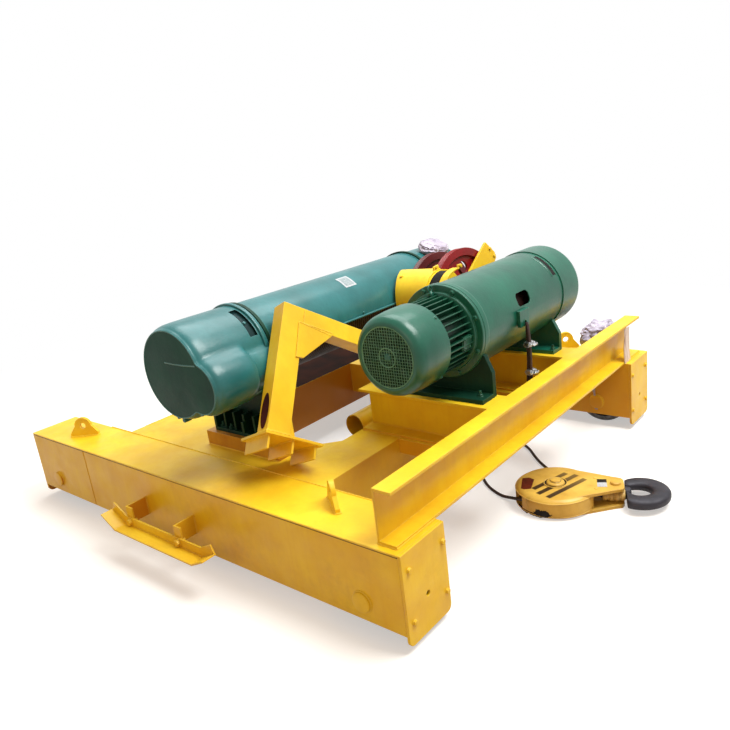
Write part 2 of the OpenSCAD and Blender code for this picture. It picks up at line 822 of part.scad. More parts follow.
// The hook turns in the crosshead; its round bowl is cut flat where it meets the cheeks
module hook() {
    mean_r = hook_in_r + hook_bar_r;
    back = crosshead_d + cheek_out + hook_gap;
    nut = crosshead_d - crosshead_w / 2 - hook_gap;
    color("dimgray") on_block() {
        rod_x(shank_r, nut - 20, back + 12);
        rod_x(22, nut - 22, nut);
        rod_x(23, crosshead_d + crosshead_w / 2 + hook_gap, back + 12);
        difference() {
            translate([hook_d, 0, 0]) rotate([0, 0, -180])
                rotate_extrude(angle = 300) translate([mean_r, 0]) circle(hook_bar_r);
            block([0, -block_r, -block_w], [back, block_r, block_w]);
        }
    }
}

// ---- Rope --------------------------------------------------------------------------------------

rope_route = [
    [2071, 1058, 388], [2071, 1057, 310], [2070, 1056, 230], [2063, 1058, 150], [2048, 1074, 75],
    [2022, 1102, 5], [1986, 1130, -60], [1942, 1152, -118], [1894, 1164, -172], [1848, 1168, -222],
    [1808, 1160, -268], [1786, 1130, -304], [1794, 1092, -322], [1826, 1052, -323],
    [1868, 1010, -323], [1916, 976, -323], [1974, 948, -321], [2034, 928, -308], [2094, 912, -294],
    [2149, 898, -290], [2219, 902, -290], [2276, 944, -290], [2300, 1009, -290],
    [2285, 1078, -290], [2239, 1125, -290], [2172, 1163, -293], [2104, 1203, -307],
    [2040, 1244, -322], [1976, 1292, -323], [1920, 1346, -323], [1868, 1400, -323],
    [1812, 1430, -312], [1768, 1412, -270], [1746, 1354, -206], [1738, 1290, -136],
    [1734, 1226, -64], [1733, 1192, 30], [1733, 1186, 140], [1733, 1185, 270], [1733, 1185, 400],
];

// A smooth curve through the points, with one more point between each pair
function bend(a, b, c, d, t) = 0.5 * (2 * b + (c - a) * t + (2 * a - 5 * b + 4 * c - d) * t * t
    + (3 * b - a - 3 * c + d) * t * t * t);
function smooth(p) = let (n = len(p)) concat(
    [for (i = [0:n - 2], t = [0, 0.5])
        bend(p[max(i - 1, 0)], p[i], p[i + 1], p[min(i + 2, n - 1)], t)],
    [p[n - 1]]);

// Rings of the tube: a circle round each point, square to the route's direction there
function unit(v) = v / norm(v);
function heading(p, i) = unit(p[min(i + 1, len(p) - 1)] - p[max(i - 1, 0)]);
function side_of(d) = unit(cross(d, abs(d.z) < 0.9 ? [0, 0, 1] : [0, 1, 0]));

module tube(p, r, sides) {
    n = len(p);
    points = [for (i = [0:n - 1], k = [0:sides - 1])
        let (d = heading(p, i), u = side_of(d), v = cross(d, u), a = 360 * k / sides)
        p[i] + r * (cos(a) * u + sin(a) * v)];
    faces = concat(
        [[for (k = [0:sides - 1]) k]],
        [[for (k = [sides - 1:-1:0]) (n - 1) * sides + k]],
        [for (i = [0:n - 2], k = [0:sides - 1])
            let (a = i * sides + k, b = i * sides + (k + 1) % sides)
            [a, a + sides, b + sides, b]]);
    polyhedron(points, faces);
}

module block_rope() {
    color("dimgray") tube(smooth(rope_route), rope_r, rope_sides);
}

// ---- Wrapped pieces ----------------------------------------------------------------------------

// A lump on the motor cover and a roll against the channel
roll_r = 78;
roll_l = 168;

module wrapped_bundles() {
    color("whitesmoke") translate([main_x, main_y2 + main_plate_t + 150, main_z])
        rotate([0, 25, 0]) block([-60, -70, main_r - 4 + seat], [60, 70, main_r + 32]);
    color("whitesmoke") rod_x(roll_r, channel_x - 5 - roll_l, channel_x - 5, depth - 100, roll_r + seat);
}

// ---- Loose bracket -----------------------------------------------------------------------------

module on_bracket() {
    translate(bracket_at) rotate(bracket_tilt) children();
}

module bracket_post_and_arm() {
    top = base_t + post_l;
    arm_z = top - arm_h;
    x0 = 4;
    x1 = x0 + post_w;
    color("gold") on_bracket() difference() {
        union() {
            block([x0, 2, base_t], [x1, 2 + post_d, top]);
            block([x0, 2, top - arm_h], [x1 + arm_l, 2 + post_d, top]);
            translate([0, 8, 0]) rotate([90, 0, 0]) linear_extrude(10)
                polygon([[x1 - 20, arm_z + 7], [x1 + 127, arm_z + 7], [x1 + 127, arm_z - 4],
                         [x1 + 16, arm_z - 126], [x1 - 14, arm_z - 130]]);
            translate([0, 2 + post_d / 2 + 5, 0]) rotate([90, 0, 0]) linear_extrude(10)
                polygon([[x1 - 2, base_t], [x1 + 42, base_t], [x1 - 2, base_t + 120]]);
        }
        // oval hole in the post's left face
        translate([x0, 2 + post_d / 2, base_t + 78]) scale([1, 1, 2.2]) rotate([0, 90, 0])
            translate([0, 0, -cut]) cylinder(r = 24, h = 24);
    }
}

module bracket_plates() {
    x1 = 4 + post_w + arm_l;
    color("gold") on_bracket() {
        block([0, 0, 0], [base_l, base_w, base_t]);
        for (x = [16, base_l / 2 - 4, base_l - 28])
            block([x, 12, -rib_h], [x + 8, base_w - 12, 0]);
        block([x1, -50, base_t + post_l - 150], [x1 + 10, 120, base_t + post_l + 30]);
    }
}

placed() end_beams();
placed() end_plates();
placed() left_longitudinal_beam();
placed() middle_longitudinal_beam();
placed() cross_decks();
placed() small_cross_members();
placed() right_channel();
placed() deck_corner_gussets();
placed() lifting_lugs();
placed() striker_bar();
placed() striker_brackets();
placed() edge_pipe();
placed() wheels();
placed() main_packing_bars();
placed() main_gear_cover();
placed() main_front_foot();
placed() main_casing();
placed() main_drum();
placed() main_rear_foot();
placed() main_motor_cover();
placed() small_saddles();
placed() small_fan_cover();
placed() small_fan_grille();
placed() small_motor_body();
placed() small_front_foot();
placed() small_casing();
placed() small_drum();
placed() small_rear_foot();
placed() small_gear_cover();
placed() rope_anchor();
placed() sheave_side_plates();
placed() sheave_guard();
placed() sheave_pin();
placed() upper_sheave_left();
placed() upper_sheave_right();
placed() block_casing();
placed() block_sheave();
placed() block_axle();
placed() block_crosshead();
placed() hook();
placed() block_rope();
placed() wrapped_bundles();
placed() bracket_post_and_arm();
placed() bracket_plates();
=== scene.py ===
"""Looks of the hoist trolley: camera and light, the rope, detailed pieces and materials.

Shapes are drawn in the trolley's own frame in millimetres: X along the end beams from their left
ends, Y across the rails from the front beam's face, Z up from the deck. piece() moves them into the
record's frame in metres. Angles are in degrees.
"""
from itertools import product
from math import copysign, cos, hypot, pi, radians, sin, sqrt

import bmesh
import bpy
from mathutils import Matrix, Vector, noise


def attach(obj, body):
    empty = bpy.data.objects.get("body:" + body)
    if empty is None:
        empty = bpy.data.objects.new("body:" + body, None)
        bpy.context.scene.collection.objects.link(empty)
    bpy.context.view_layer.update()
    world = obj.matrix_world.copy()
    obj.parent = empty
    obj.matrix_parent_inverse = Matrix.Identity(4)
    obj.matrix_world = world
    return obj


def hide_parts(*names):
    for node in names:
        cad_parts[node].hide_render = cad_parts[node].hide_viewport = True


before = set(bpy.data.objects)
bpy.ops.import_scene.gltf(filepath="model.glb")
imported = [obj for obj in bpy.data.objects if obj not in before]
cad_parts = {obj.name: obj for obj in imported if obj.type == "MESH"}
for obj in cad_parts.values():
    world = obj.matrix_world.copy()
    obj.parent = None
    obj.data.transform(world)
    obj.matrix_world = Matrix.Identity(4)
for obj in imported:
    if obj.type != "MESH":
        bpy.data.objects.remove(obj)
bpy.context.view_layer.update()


# ---- Places ----

def moved(x, y, z):
    return Matrix.Translation((x, y, z))


def turned(degrees, axis="Z"):
    return Matrix.Rotation(radians(degrees), 4, axis)


def circle(r, x=0.0, y=0.0, sides=28, start=0.0, sweep=360.0):
    """Points of a circle or an arc."""
    angles = [radians(start + sweep * k / sides) for k in range(sides + (sweep < 360))]
    return [(x + r * cos(a), y + r * sin(a)) for a in angles]


def spots(count, r, h, start=0.0):
    """Places evenly spread on a circle about Z, at height h."""
    return [moved(x, y, h) for x, y in circle(r, sides=count, start=start)]


def facing(at, normal, turn=0.0):
    """Places a shape drawn on Z = 0 at a point, with its Z along normal."""
    z = Vector(normal).normalized()
    x = (Vector((0, 0, 1)) if abs(z.z) < 0.9 else Vector((1, 0, 0))).cross(z).normalized()
    return moved(*at) @ Matrix((x, z.cross(x), z)).transposed().to_4x4() @ turned(turn)


MM = 0.001
TO_RECORD = Matrix.Scale(MM, 4) @ moved(-1100, -937, 330)
ALONG_Y = turned(-90, "X")  # a lathe's Z axis turned to +Y
ALONG_X = turned(90, "Y")  # and to +X
OVER = turned(180, "X")
UPRIGHT = Matrix(((0, 0, 1, 0), (1, 0, 0, 0), (0, 1, 0, 0), (0, 0, 0, 1)))  # X, Y, Z to Y, Z, X

DEPTH = 2018  # over both end beams
BEAMS = ((0, 220), (1798, DEPTH))  # front and rear faces of each
ENDS = ((0, -1), (2190, 1))  # the end plates' inner faces, and which way they look
PLATE_T = 10
PLATE_HOLE_Z = -184
AXLES = [(x, y0 + 110, -205) for x in (168, 2032) for y0, y1 in BEAMS]
LUGS = ((313, 103, 36), (1827, 140, -36), (313, 1915, -36), (1814, 1950, 36))  # x, y, turn

MAIN = (1190, 405)  # the main hoist's axis, x and z
LOBE = (140, -39)  # its cover's second lobe, from there
SMALL = (1878, 417)  # the small hoist's axis
ON_MAIN, ON_SMALL = (moved(x, 0, z) @ ALONG_Y for x, z in (MAIN, SMALL))

BLOCK = (2177, 1018, -290)
BLOCK_TURN = 24.5
ON_BLOCK = moved(*BLOCK) @ turned(BLOCK_TURN)
ON_BRACKET = moved(1558, 134, 214) @ turned(69.3) @ turned(30.6, "Y") @ turned(-26.5, "X")
ON_SHEAVES = moved(1514, 1417, 404) @ turned(-10) @ turned(-8.3, "Y")
ON_GUARD = ON_SHEAVES @ moved(-102, -176, 39) @ turned(4.3, "Y")
GUARD_R = 117


# ---- Shapes ----

class Shape:
    """Vertices and faces of one piece, with the place they are drawn at."""

    def __init__(self, place=Matrix(), *parts):
        self.place, self.verts, self.faces, self.tints = place, [], [], []
        for part in parts:
            self.add(part)

    def add(self, part, place=None, tint=0):
        start = len(self.verts)
        place = self.place @ place if place else self.place
        self.verts += [place @ Vector(v) for v in part[0]]
        self.faces += [[i + start for i in face] for face in part[1]]
        self.tints += [tint] * len(part[1])
        return self

    def bolts(self, size, places):
        for place in places:
            self.add(bolt(size), place)
        return self


def new_object(name, data, place=Matrix()):
    obj = bpy.data.objects.new(name, data)
    obj.matrix_world = place
    bpy.context.scene.collection.objects.link(obj)
    return obj


def piece(name, shape, finish, body="trolley", smooth=32, replaces=None):
    """Makes the object, rides it on its body and gives it one finish, or a list by tint."""
    finishes = finish if isinstance(finish, list) else [finish]
    mesh = bpy.data.meshes.new(name)
    mesh.from_pydata([TO_RECORD @ v for v in shape.verts], [], shape.faces)
    for material in finishes:
        mesh.materials.append(material)
    mesh.polygons.foreach_set("material_index", shape.tints)
    bm = bmesh.new()
    bm.from_mesh(mesh)
    bmesh.ops.remove_doubles(bm, verts=bm.verts, dist=2e-6)
    bmesh.ops.dissolve_degenerate(bm, edges=bm.edges, dist=1e-6)
    bmesh.ops.recalc_face_normals(bm, faces=bm.faces)
    bm.to_mesh(mesh)
    bm.free()
    mesh.shade_smooth()
    mesh.set_sharp_from_angle(angle=radians(smooth))
    obj = new_object(name, mesh)
    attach(obj, body)
    if replaces:
        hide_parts(replaces)
    return obj


def lathe(profile, sides, soft=0, steps=4, start=0.0, sweep=360.0, closed=False):
    """Turns a profile of (radius, height) points about Z, with its corners rounded by soft."""
    if soft:
        profile = rounded(profile, soft, steps)
    spokes = circle(1, 0, 0, sides, start, sweep)
    return loft([[(r * x, r * y, h) for r, h in profile] for x, y in spokes], sweep >= 360.0,
        wrap=closed)


def ring(profile, sides, *more, **extra):
    """The same with a profile that closes on itself."""
    return lathe(profile, sides, *more, closed=True, **extra)


def rounded(points, radius, steps):
    """Rounds the corners of an open (radius, height) profile."""
    out = [points[0]]
    for p, q, s in zip(points, points[1:], points[2:]):
        p, q, s = Vector(p), Vector(q), Vector(s)
        r = min(radius, (p - q).length * 0.49, (s - q).length * 0.49)
        a, b = q + (p - q).normalized() * r, q + (s - q).normalized() * r
        for k in range(steps + 1):
            t = k / steps
            out.append(tuple(a * (1 - t) ** 2 + q * 2 * t * (1 - t) + b * t * t))
    return out + [points[-1]]


def rod(r, low, high, sides=32):
    return lathe([(0, low), (r, low), (r, high), (0, high)], sides)


def loft(rings, closed=False, caps=True, wrap=True):
    """A skin over rings of points: closed from last to first, wrap round each of them."""
    n, count = len(rings), len(rings[0])
    faces = []
    for i in range(n if closed else n - 1):
        a, b = i * count, (i + 1) % n * count
        for k in range(count if wrap else count - 1):
            j = (k + 1) % count
            faces.append([a + k, a + j, b + j, b + k])
    if caps and not closed:
        faces += [list(range(count)), [(n - 1) * count + k for k in range(count)][::-1]]
    return [v for ring in rings for v in ring], faces


def tube(points, radius, sides=8, closed=False, shape=None):
    """A tube along points; shape(i, k) scales the radius at ring i and side k."""
    points = [Vector(p) for p in points]
    n = len(points)
    rings = []
    side = None
    for i, p in enumerate(points):
        before = points[i - 1] if i or closed else p
        after = points[(i + 1) % n] if i < n - 1 or closed else p
        d = (after - before).normalized()
        if side is None:
            side = d.cross(Vector((0, 0, 1)) if abs(d.z) < 0.9 else Vector((0, 1, 0)))
        side = (side - d * side.dot(d)).normalized()
        up = d.cross(side)
        rings.append([p + (side * x + up * y) * (radius * (shape(i, k) if shape else 1))
            for k, (x, y) in enumerate(circle(1, sides=sides))])
    return loft(rings, closed)


def hoop(r, h, thick, sides=48):
    """A round bar bent into a ring about Z, at height h."""
    return tube([(x, y, h) for x, y in circle(r, sides=sides)], thick, 6, True)


def taken(bm):
    """Vertices and faces of a bmesh, which is freed."""
    bm.verts.index_update()
    out = [v.co.copy() for v in bm.verts], [[v.index for v in f.verts] for f in bm.faces]
    bm.free()
    return out


def box(a, b, bevel=1.5):
    """A box with softened edges."""
    bm = bmesh.new()
    bmesh.ops.create_cube(bm, size=1)
    for v in bm.verts:
        v.co = Vector([p + (q - p) * (c + 0.5) for p, q, c in zip(a, b, v.co)])
    if bevel:
        bmesh.ops.bevel(bm, geom=bm.edges[:], offset=bevel, segments=2, affect="EDGES")
    return taken(bm)


def plate(loops, t, bevel):
    """A flat plate from an outline and its holes, with softened edges, from Z 0 to t."""
    bm = bmesh.new()
    for loop in loops:
        vs = [bm.verts.new((x, y, 0)) for x, y in loop]
        for a, b in zip(vs, vs[1:] + vs[:1]):
            bm.edges.new((a, b))
    bmesh.ops.triangle_fill(bm, use_beauty=True, use_dissolve=True, edges=bm.edges[:])
    made = bmesh.ops.extrude_face_region(bm, geom=bm.faces[:])
    for v in made["geom"]:
        if isinstance(v, bmesh.types.BMVert):
            v.co.z += t
    bmesh.ops.recalc_face_normals(bm, faces=bm.faces)
    if bevel:
        sharp = [e for e in bm.edges
            if len(e.link_faces) == 2 and e.calc_face_angle(0) > radians(40)]
        bmesh.ops.bevel(bm, geom=sharp, offset=bevel, segments=1, affect="EDGES")
    return taken(bm)


def bolt(size):
    """A bolt's washer and hexagon head with its round face, standing on Z = 0."""
    s = Shape()
    low = size * 0.16
    s.add(lathe([(0, low), (size * 1.05, low), (size * 1.05, 0), (0, 0)], 20, 0.5, 1))
    top = low + size * 0.62
    s.add(lathe([(0, low), (size * 0.92, low), (size * 0.92, top - size * 0.1), (size * 0.8, top),
        (0, top)], 6))
    s.add(lathe([(0, top + 0.3), (size * 0.72, top + 0.1), (size * 0.78, top - 0.5)], 20))
    return s.verts, s.faces


def stud(size, out):
    """A nut on a threaded end that stands out of it."""
    pitch = 0.9
    ring = [(size * (0.5 if i % 2 else 0.44), size * 0.8 + i * pitch)
        for i in range(int(out / pitch))]
    s = Shape().add(bolt(size)).add(lathe(ring + [(0, ring[-1][1])], 12))
    return s.verts, s.faces


def weld(points, r, closed=False):
    """A rippled bead of weld along a path."""
    points = [Vector(p) for p in points]
    ends = points[1:] + points[:1] if closed else points[1:]
    dense = []
    for a, b in zip(points, ends):
        steps = max(1, int((b - a).length / 5.0))
        dense += [a.lerp(b, k / steps) for k in range(steps)]
    if not closed:
        dense.append(points[-1])

    def ripple(i, k):
        return 0.86 + 0.16 * sin(i * 1.9) + 0.16 * noise.noise(dense[i] * 0.06)
    return tube(dense, r, 6, closed, ripple)


def beads(s, r, *path):
    """Straight beads: a pair is where they run from and to, a list has one value for each."""
    for at in product(*[c if isinstance(c, list) else [c] for c in path]):
        s.add(weld([[c[i] if isinstance(c, tuple) else c for c in at] for i in (0, 1)], r))


# ---- Materials ----

def rgb(colour):
    """A colour given in sRGB from 0 to 255, as linear values."""
    out = []
    for c in colour:
        c /= 255
        out.append(c / 12.92 if c <= 0.04045 else ((c + 0.055) / 1.055) ** 2.4)
    return (*out, 1.0)


class Nodes:
    """A short way to wire a material or the world, from an empty tree."""

    def __init__(self, owner):
        owner.use_nodes = True
        self.owner, self.tree = owner, owner.node_tree
        self.tree.nodes.clear()

    def make(self, kind, inputs=(), **settings):
        """Adds a node and returns its outputs. A colour of three numbers is sRGB."""
        node = self.tree.nodes.new("ShaderNode" + kind)
        for key, value in settings.items():
            setattr(node, key, value)
        for key, value in dict(inputs).items():
            socket = node.inputs[key]
            if isinstance(value, bpy.types.NodeSocket):
                self.tree.links.new(value, socket)
            elif socket.type == "RGBA" and len(value) == 3:
                socket.default_value = rgb(value)
            else:
                socket.default_value = value
        return node.outputs

    def seen_rays(self):
        """1 for rays that show the backdrop: from the camera, in gloss and through glass."""
        rays = self.make("LightPath")
        seen = rays["Is Camera Ray"]
        for name in ("Is Glossy Ray", "Is Transmission Ray"):
            seen = self.maths("MAXIMUM", seen, rays[name])
        return seen

    def maths(self, kind, *values):
        return self.make("Math", dict(enumerate(values)), operation=kind)["Value"]


class Finish(Nodes):
    """The nodes of one piece's material."""

    def __init__(self, name):
        super().__init__(bpy.data.materials.new(name))
        self.where = self.make("TexCoord")["Object"]

    def noise(self, scale, detail=3.0, stretch=(1, 1, 1), rough=0.55):
        place = self.make("Mapping", {"Scale": stretch, "Vector": self.where})[0]
        return self.make("TexNoise", {"Scale": scale, "Detail": detail, "Roughness": rough,
            "Vector": place})["Fac"]

    def ramp(self, value, low, high, a=0.0, b=1.0):
        return self.make("MapRange", {"Value": value, "From Min": low, "From Max": high,
            "To Min": a, "To Max": b}, clamp=True)["Result"]

    def patches(self, scale, detail, low, high, a=0.0, b=1.0, **more):
        """Noise spread over a range."""
        return self.ramp(self.noise(scale, detail, **more), low, high, a, b)

    def times(self, first, *others):
        for other in others:
            first = self.maths("MULTIPLY", first, other)
        return first

    def mix(self, factor, a, b):
        return self.make("Mix", {0: factor, 6: a, 7: b}, data_type="RGBA")[2]

    def split(self, vector):
        return self.make("SeparateXYZ", {"Vector": vector})

    def inner_web_shade(self):
        """1 on the frame's inner webs, below the deck, that face its right or its front: where the
        yellow is browned as painted shade.
        """
        x, y, z = self.split(self.where)
        right, back, up = self.split(self.make("NewGeometry")["Normal"])
        side = self.times(self.ramp(right, 0.75, 0.95), self.ramp(x, 0.90, 0.88),
            self.ramp(x, -0.15, -0.20, 0.25, 1.0))
        front = self.times(self.ramp(back, -0.75, -0.95, 0, 0.6), self.ramp(y, -0.45, -0.42))
        return self.times(self.maths("MAXIMUM", side, front), self.ramp(z, 0.350, 0.335))

    def edges(self, radius):
        """Where the surface bends within that radius, 0 to 1, and the softened normal."""
        soft = self.make("Bevel", {"Radius": radius}, samples=4)["Normal"]
        true = self.make("NewGeometry")["Normal"]
        dot = self.make("VectorMath", {0: soft, 1: true}, operation="DOT_PRODUCT")["Value"]
        return self.ramp(dot, 0.995, 0.80), soft

    def bump(self, height, strength, distance, **normal):
        return self.make("Bump", {"Strength": strength, "Distance": distance, "Height": height,
            **normal})["Normal"]

    def done(self, colour, roughness, normal, **values):
        """Makes the shader with its inputs and hands the material back."""
        values.update(Base_Color=colour, Roughness=roughness, Normal=normal)
        shader = self.make("BsdfPrincipled", {k.replace("_", " "): v for k, v in values.items()})
        self.make("OutputMaterial", {"Surface": shader[0]})
        return self.owner


def paint(name, base, deep, light, dirt, rough=(0.36, 0.52), dirty=0.25, soft=0.003, coat=0.10,
        gloss=0.30, inside=None):
    """Brushed or sprayed gloss paint on steel: uneven colour, dirt, lighter edges that are part
    worn paint and part painted highlight, orange peel, and painted shade on the frame's inner webs
    when inside is given.
    """
    n = Finish(name)
    colour = n.mix(n.patches(5.5, 4, 0.35, 0.68), base, deep)
    colour = n.mix(n.patches(60, 3, 0.45, 0.75, 0, 0.35, stretch=(1, 1, 0.06)), colour, deep)
    # inside: a browner colour put on the inner webs as painted shade
    if inside:
        colour = n.mix(n.inner_web_shade(), colour, inside)
    stain = n.times(n.patches(2.6, 5, 0.50, 0.80), n.patches(34, 6, 0.35, 0.7, rough=0.7))
    colour = n.mix(n.times(stain, dirty * 2), colour, dirt)
    edge, normal = n.edges(soft)
    # edges lightened: part worn paint, part painted highlight
    colour = n.mix(n.times(edge, 0.45), colour, light)
    peel = n.maths("ADD", n.noise(120, 2), n.times(n.noise(17, 3), 1.6))
    normal = n.bump(peel, 0.10, 0.004, Normal=normal)
    return n.done(colour, n.patches(14, 3, 0.3, 0.75, *rough), normal, Coat_Weight=coat,
        Coat_Roughness=0.22, Specular_IOR_Level=gloss)


def metal(name, base, dark, rust, rough=(0.35, 0.6), metallic=0.85, rust_from=0.62, scale=40):
    """Bare or oiled steel with darker patches, a little rust and lighter edges, part polish from
    wear and part painted highlight.
    """
    n = Finish(name)
    colour = n.mix(n.patches(scale, 5, 0.35, 0.7), base, dark)
    rusty = n.patches(scale * 0.5, 6, rust_from, rust_from + 0.12, rough=0.7)
    colour = n.mix(rusty, colour, rust)
    edge, normal = n.edges(0.0015)
    # edges lightened: part polish from wear, part painted highlight
    bright_edge = tuple(min(1, c * 2.2) for c in rgb(base)[:3]) + (1,)
    colour = n.mix(n.times(edge, 0.4), colour, bright_edge)
    normal = n.bump(n.noise(scale * 5, 4), 0.25, 0.001, Normal=normal)
    return n.done(colour, n.patches(scale * 0.7, 3, 0.3, 0.7, *rough), normal, Metallic=metallic)


def film(name, light, shade, crease, stretch=(1, 1, 1)):
    """Crumpled clear wrapping film over something pale, with its lit and shaded tones and darker
    creases spread by noise as painted light and shade.
    """
    n = Finish(name)
    colour = n.mix(n.patches(14, 4, 0.35, 0.65, stretch=stretch), light, shade)
    # crease: darker folds, painted shade
    colour = n.mix(n.patches(46, 4, 0.60, 0.76, stretch=stretch), colour, crease)
    return n.done(colour, 0.3, n.bump(n.noise(38, 4, rough=0.6), 0.4, 0.005), Coat_Weight=0.35,
        Coat_Roughness=0.12, Specular_IOR_Level=0.35)


def flat_finish(name, base, dark, rough, scale=50):
    n = Finish(name)
    colour = n.mix(n.patches(scale, 4, 0.35, 0.7), base, dark)
    roughness = n.patches(scale * 0.6, 3, 0.3, 0.7, rough * 0.85, min(1.0, rough * 1.15))
    return n.done(colour, roughness, n.bump(n.noise(scale * 4, 3), 0.2, 0.001),
        Specular_IOR_Level=0.2)


def block_paint():
    """The hook block's worn yellow with three slanting dark bars across its round face, and lighter
    edges, part wear and part painted highlight.
    """
    n = Finish("block_paint")
    colour = n.mix(n.patches(9, 4, 0.35, 0.68), (222, 184, 84), (192, 150, 58))
    middle = TO_RECORD @ (Vector(BLOCK) + Vector((12, -7, 0)))
    at = n.make("Mapping", {"Location": middle, "Rotation": (0, 0, radians(BLOCK_TURN - 42)),
        "Vector": n.where}, vector_type="TEXTURE")[0]
    across, along, up = n.split(at)
    bars = None
    for centre, reach in ((-0.040, 0.096), (0.0, 0.112), (0.046, 0.108)):
        off = n.maths("ABSOLUTE", n.maths("SUBTRACT", across, centre))
        off = n.maths("ADD", off, n.times(n.noise(70, 2), 0.0022))
        end = n.ramp(n.maths("ABSOLUTE", along), reach, reach - 0.005)
        bar = n.times(n.ramp(off, 0.0136, 0.0105), end)
        bars = bar if bars is None else n.maths("MAXIMUM", bars, bar)
    bars = n.times(bars, n.ramp(up, 0.034, 0.036), n.ramp(up, 0.0425, 0.0415),
        n.ramp(along, -0.02, 0.11, 0.97, 0.74))
    worn = n.times(n.patches(24, 6, 0.56, 0.66, rough=0.7), n.patches(4, 3, 0.42, 0.62))
    colour = n.mix(n.times(worn, 0.45), colour, (104, 76, 36))
    colour = n.mix(bars, colour, (40, 24, 15))
    edge, normal = n.edges(0.003)
    # edges lightened: part worn paint, part painted highlight
    colour = n.mix(n.times(edge, 0.4), colour, (244, 220, 150))
    height = n.maths("SUBTRACT", n.times(n.noise(110, 3), 0.5), bars)
    normal = n.bump(height, 0.25, 0.003, Normal=normal)
    return n.done(colour, n.patches(12, 3, 0.3, 0.75, 0.36, 0.55), normal, Coat_Weight=0.15,
        Coat_Roughness=0.25, Specular_IOR_Level=0.35)


YELLOW = ((237, 202, 38), (224, 178, 30))


def oily_deck():
    """The deck's yellow under the main hoist, painted nearly black as the hoist's shade on it."""
    n = Finish("oily_deck_paint")
    colour = n.mix(n.patches(5.5, 4, 0.35, 0.68), *YELLOW)
    at = n.make("Mapping", {"Location": -(TO_RECORD @ Vector((829, 1345, 0))), "Vector": n.where},
        vector_type="POINT")[0]
    wander = n.times(n.maths("SUBTRACT", n.noise(9, 4, rough=0.5), 0.5), 0.16)
    # stain: the band of painted shade across the deck, with a wandering edge
    stain = n.ramp(n.maths("ADD", n.maths("ABSOLUTE", n.split(at)[1]), wander), 0.43, 0.35)
    dark = n.mix(n.patches(7, 4, 0.35, 0.68), (44, 20, 12), (20, 10, 7))
    normal = n.bump(n.noise(90, 3), 0.1, 0.001)
    return n.done(n.mix(stain, colour, dark), n.ramp(stain, 0, 1, 0.5, 0.85), normal,
        Specular_IOR_Level=0.06)


# base, deeper, lighter and dirt colours; the lighter one is for edges, part wear and part painted
# highlight
# the yellow's inside colour is painted shade on the frame's inner webs
yellow = paint("yellow_paint", *YELLOW, (255, 234, 124), (130, 84, 28), dirty=0.16,
    inside=(209, 137, 30))
# a darker, browner copy of the yellow: painted shade for the packing bars under the main hoist
shaded_yellow = paint("yellow_paint_inner", (206, 150, 40), (170, 106, 26), (240, 196, 90),
    (96, 58, 22), dirty=0.30)
# near-black maroon that stands in for shade: under the deck edges and inside the post's hole
painted_shade_dark = paint("dark_hollow_paint", (78, 26, 22), (46, 16, 14), (120, 60, 40), (20, 10, 8),
    dirty=0.4, rough=(0.6, 0.8), coat=0.0, gloss=0.08)
# painted shade for the deck beneath the main hoist
shaded_deck = oily_deck()
wire_green = paint("grille_paint", (112, 166, 144), (76, 130, 110), (150, 190, 170), (30, 50, 38),
    soft=0.001)
cast = {"rough": (0.30, 0.44), "dirty": 0.10, "coat": 0.25}
teal = paint("teal_paint", (38, 108, 112), (26, 90, 92), (112, 172, 174), (30, 44, 38), **cast)
green = paint("green_paint", (18, 92, 73), (12, 75, 60), (84, 158, 132), (24, 44, 30), **cast)
dark_green = paint("dark_green_paint", (14, 72, 50), (8, 50, 36), (70, 140, 112), (16, 26, 18),
    dirty=0.3)
shade_green = paint("shade_green_paint", (20, 62, 46), (12, 38, 29), (72, 130, 108), (12, 16, 12),
    dirty=0.3, coat=0.0, gloss=0.12)
# a darker copy of the teal for the gear cover's front face: painted shade
shaded_teal_face = paint("cover_face_paint", (26, 72, 60), (18, 54, 46), (104, 160, 150), (16, 26, 20),
    dirty=0.2, coat=0.0, gloss=0.12)
# darker paint inside the vent pocket: painted shade
vent_shade = paint("vent_inside_paint", (20, 50, 52), (12, 34, 36), (60, 110, 112), (10, 20, 18),
    coat=0.0, gloss=0.1)
red = paint("red_paint", (148, 18, 24), (104, 12, 18), (206, 110, 104), (44, 14, 14), dirty=0.35,
    soft=0.002)
# a darker copy of the red for the left sheave: painted shade
shaded_red = paint("dull_red_paint", (104, 24, 26), (70, 16, 18), (170, 90, 84), (36, 14, 14),
    dirty=0.4, soft=0.002)
drum_red = paint("drum_paint", (46, 22, 16), (28, 15, 12), (96, 62, 44), (16, 11, 9), dirty=0.5,
    rough=(0.4, 0.6))
cream = paint("cream_paint", (214, 182, 108), (172, 136, 70), (240, 220, 160), (90, 60, 30),
    dirty=0.4)
golden = block_paint()
# base, dark and rust colours
steel = metal("dark_steel", (110, 108, 106), (66, 62, 60), (92, 56, 36))
bright = metal("bright_steel", (196, 196, 198), (140, 140, 142), (128, 96, 70), (0.2, 0.4), 0.95,
    0.72)
hook_metal = metal("hook_steel", (44, 41, 50), (29, 27, 34), (50, 36, 33), (0.45, 0.65), 0.30,
    scale=26)  # oiled and nearly black
rope_steel = metal("wire_rope", (60, 40, 34), (24, 17, 15), (70, 34, 24), (0.4, 0.65), 0.35, 0.55,
    120)
wrap = film("wrapping_film", (190, 182, 200), (150, 141, 162), (104, 92, 114))
tape_film = film("tape_film", (226, 212, 204), (190, 164, 152), (126, 84, 74), (1, 1, 0.12))
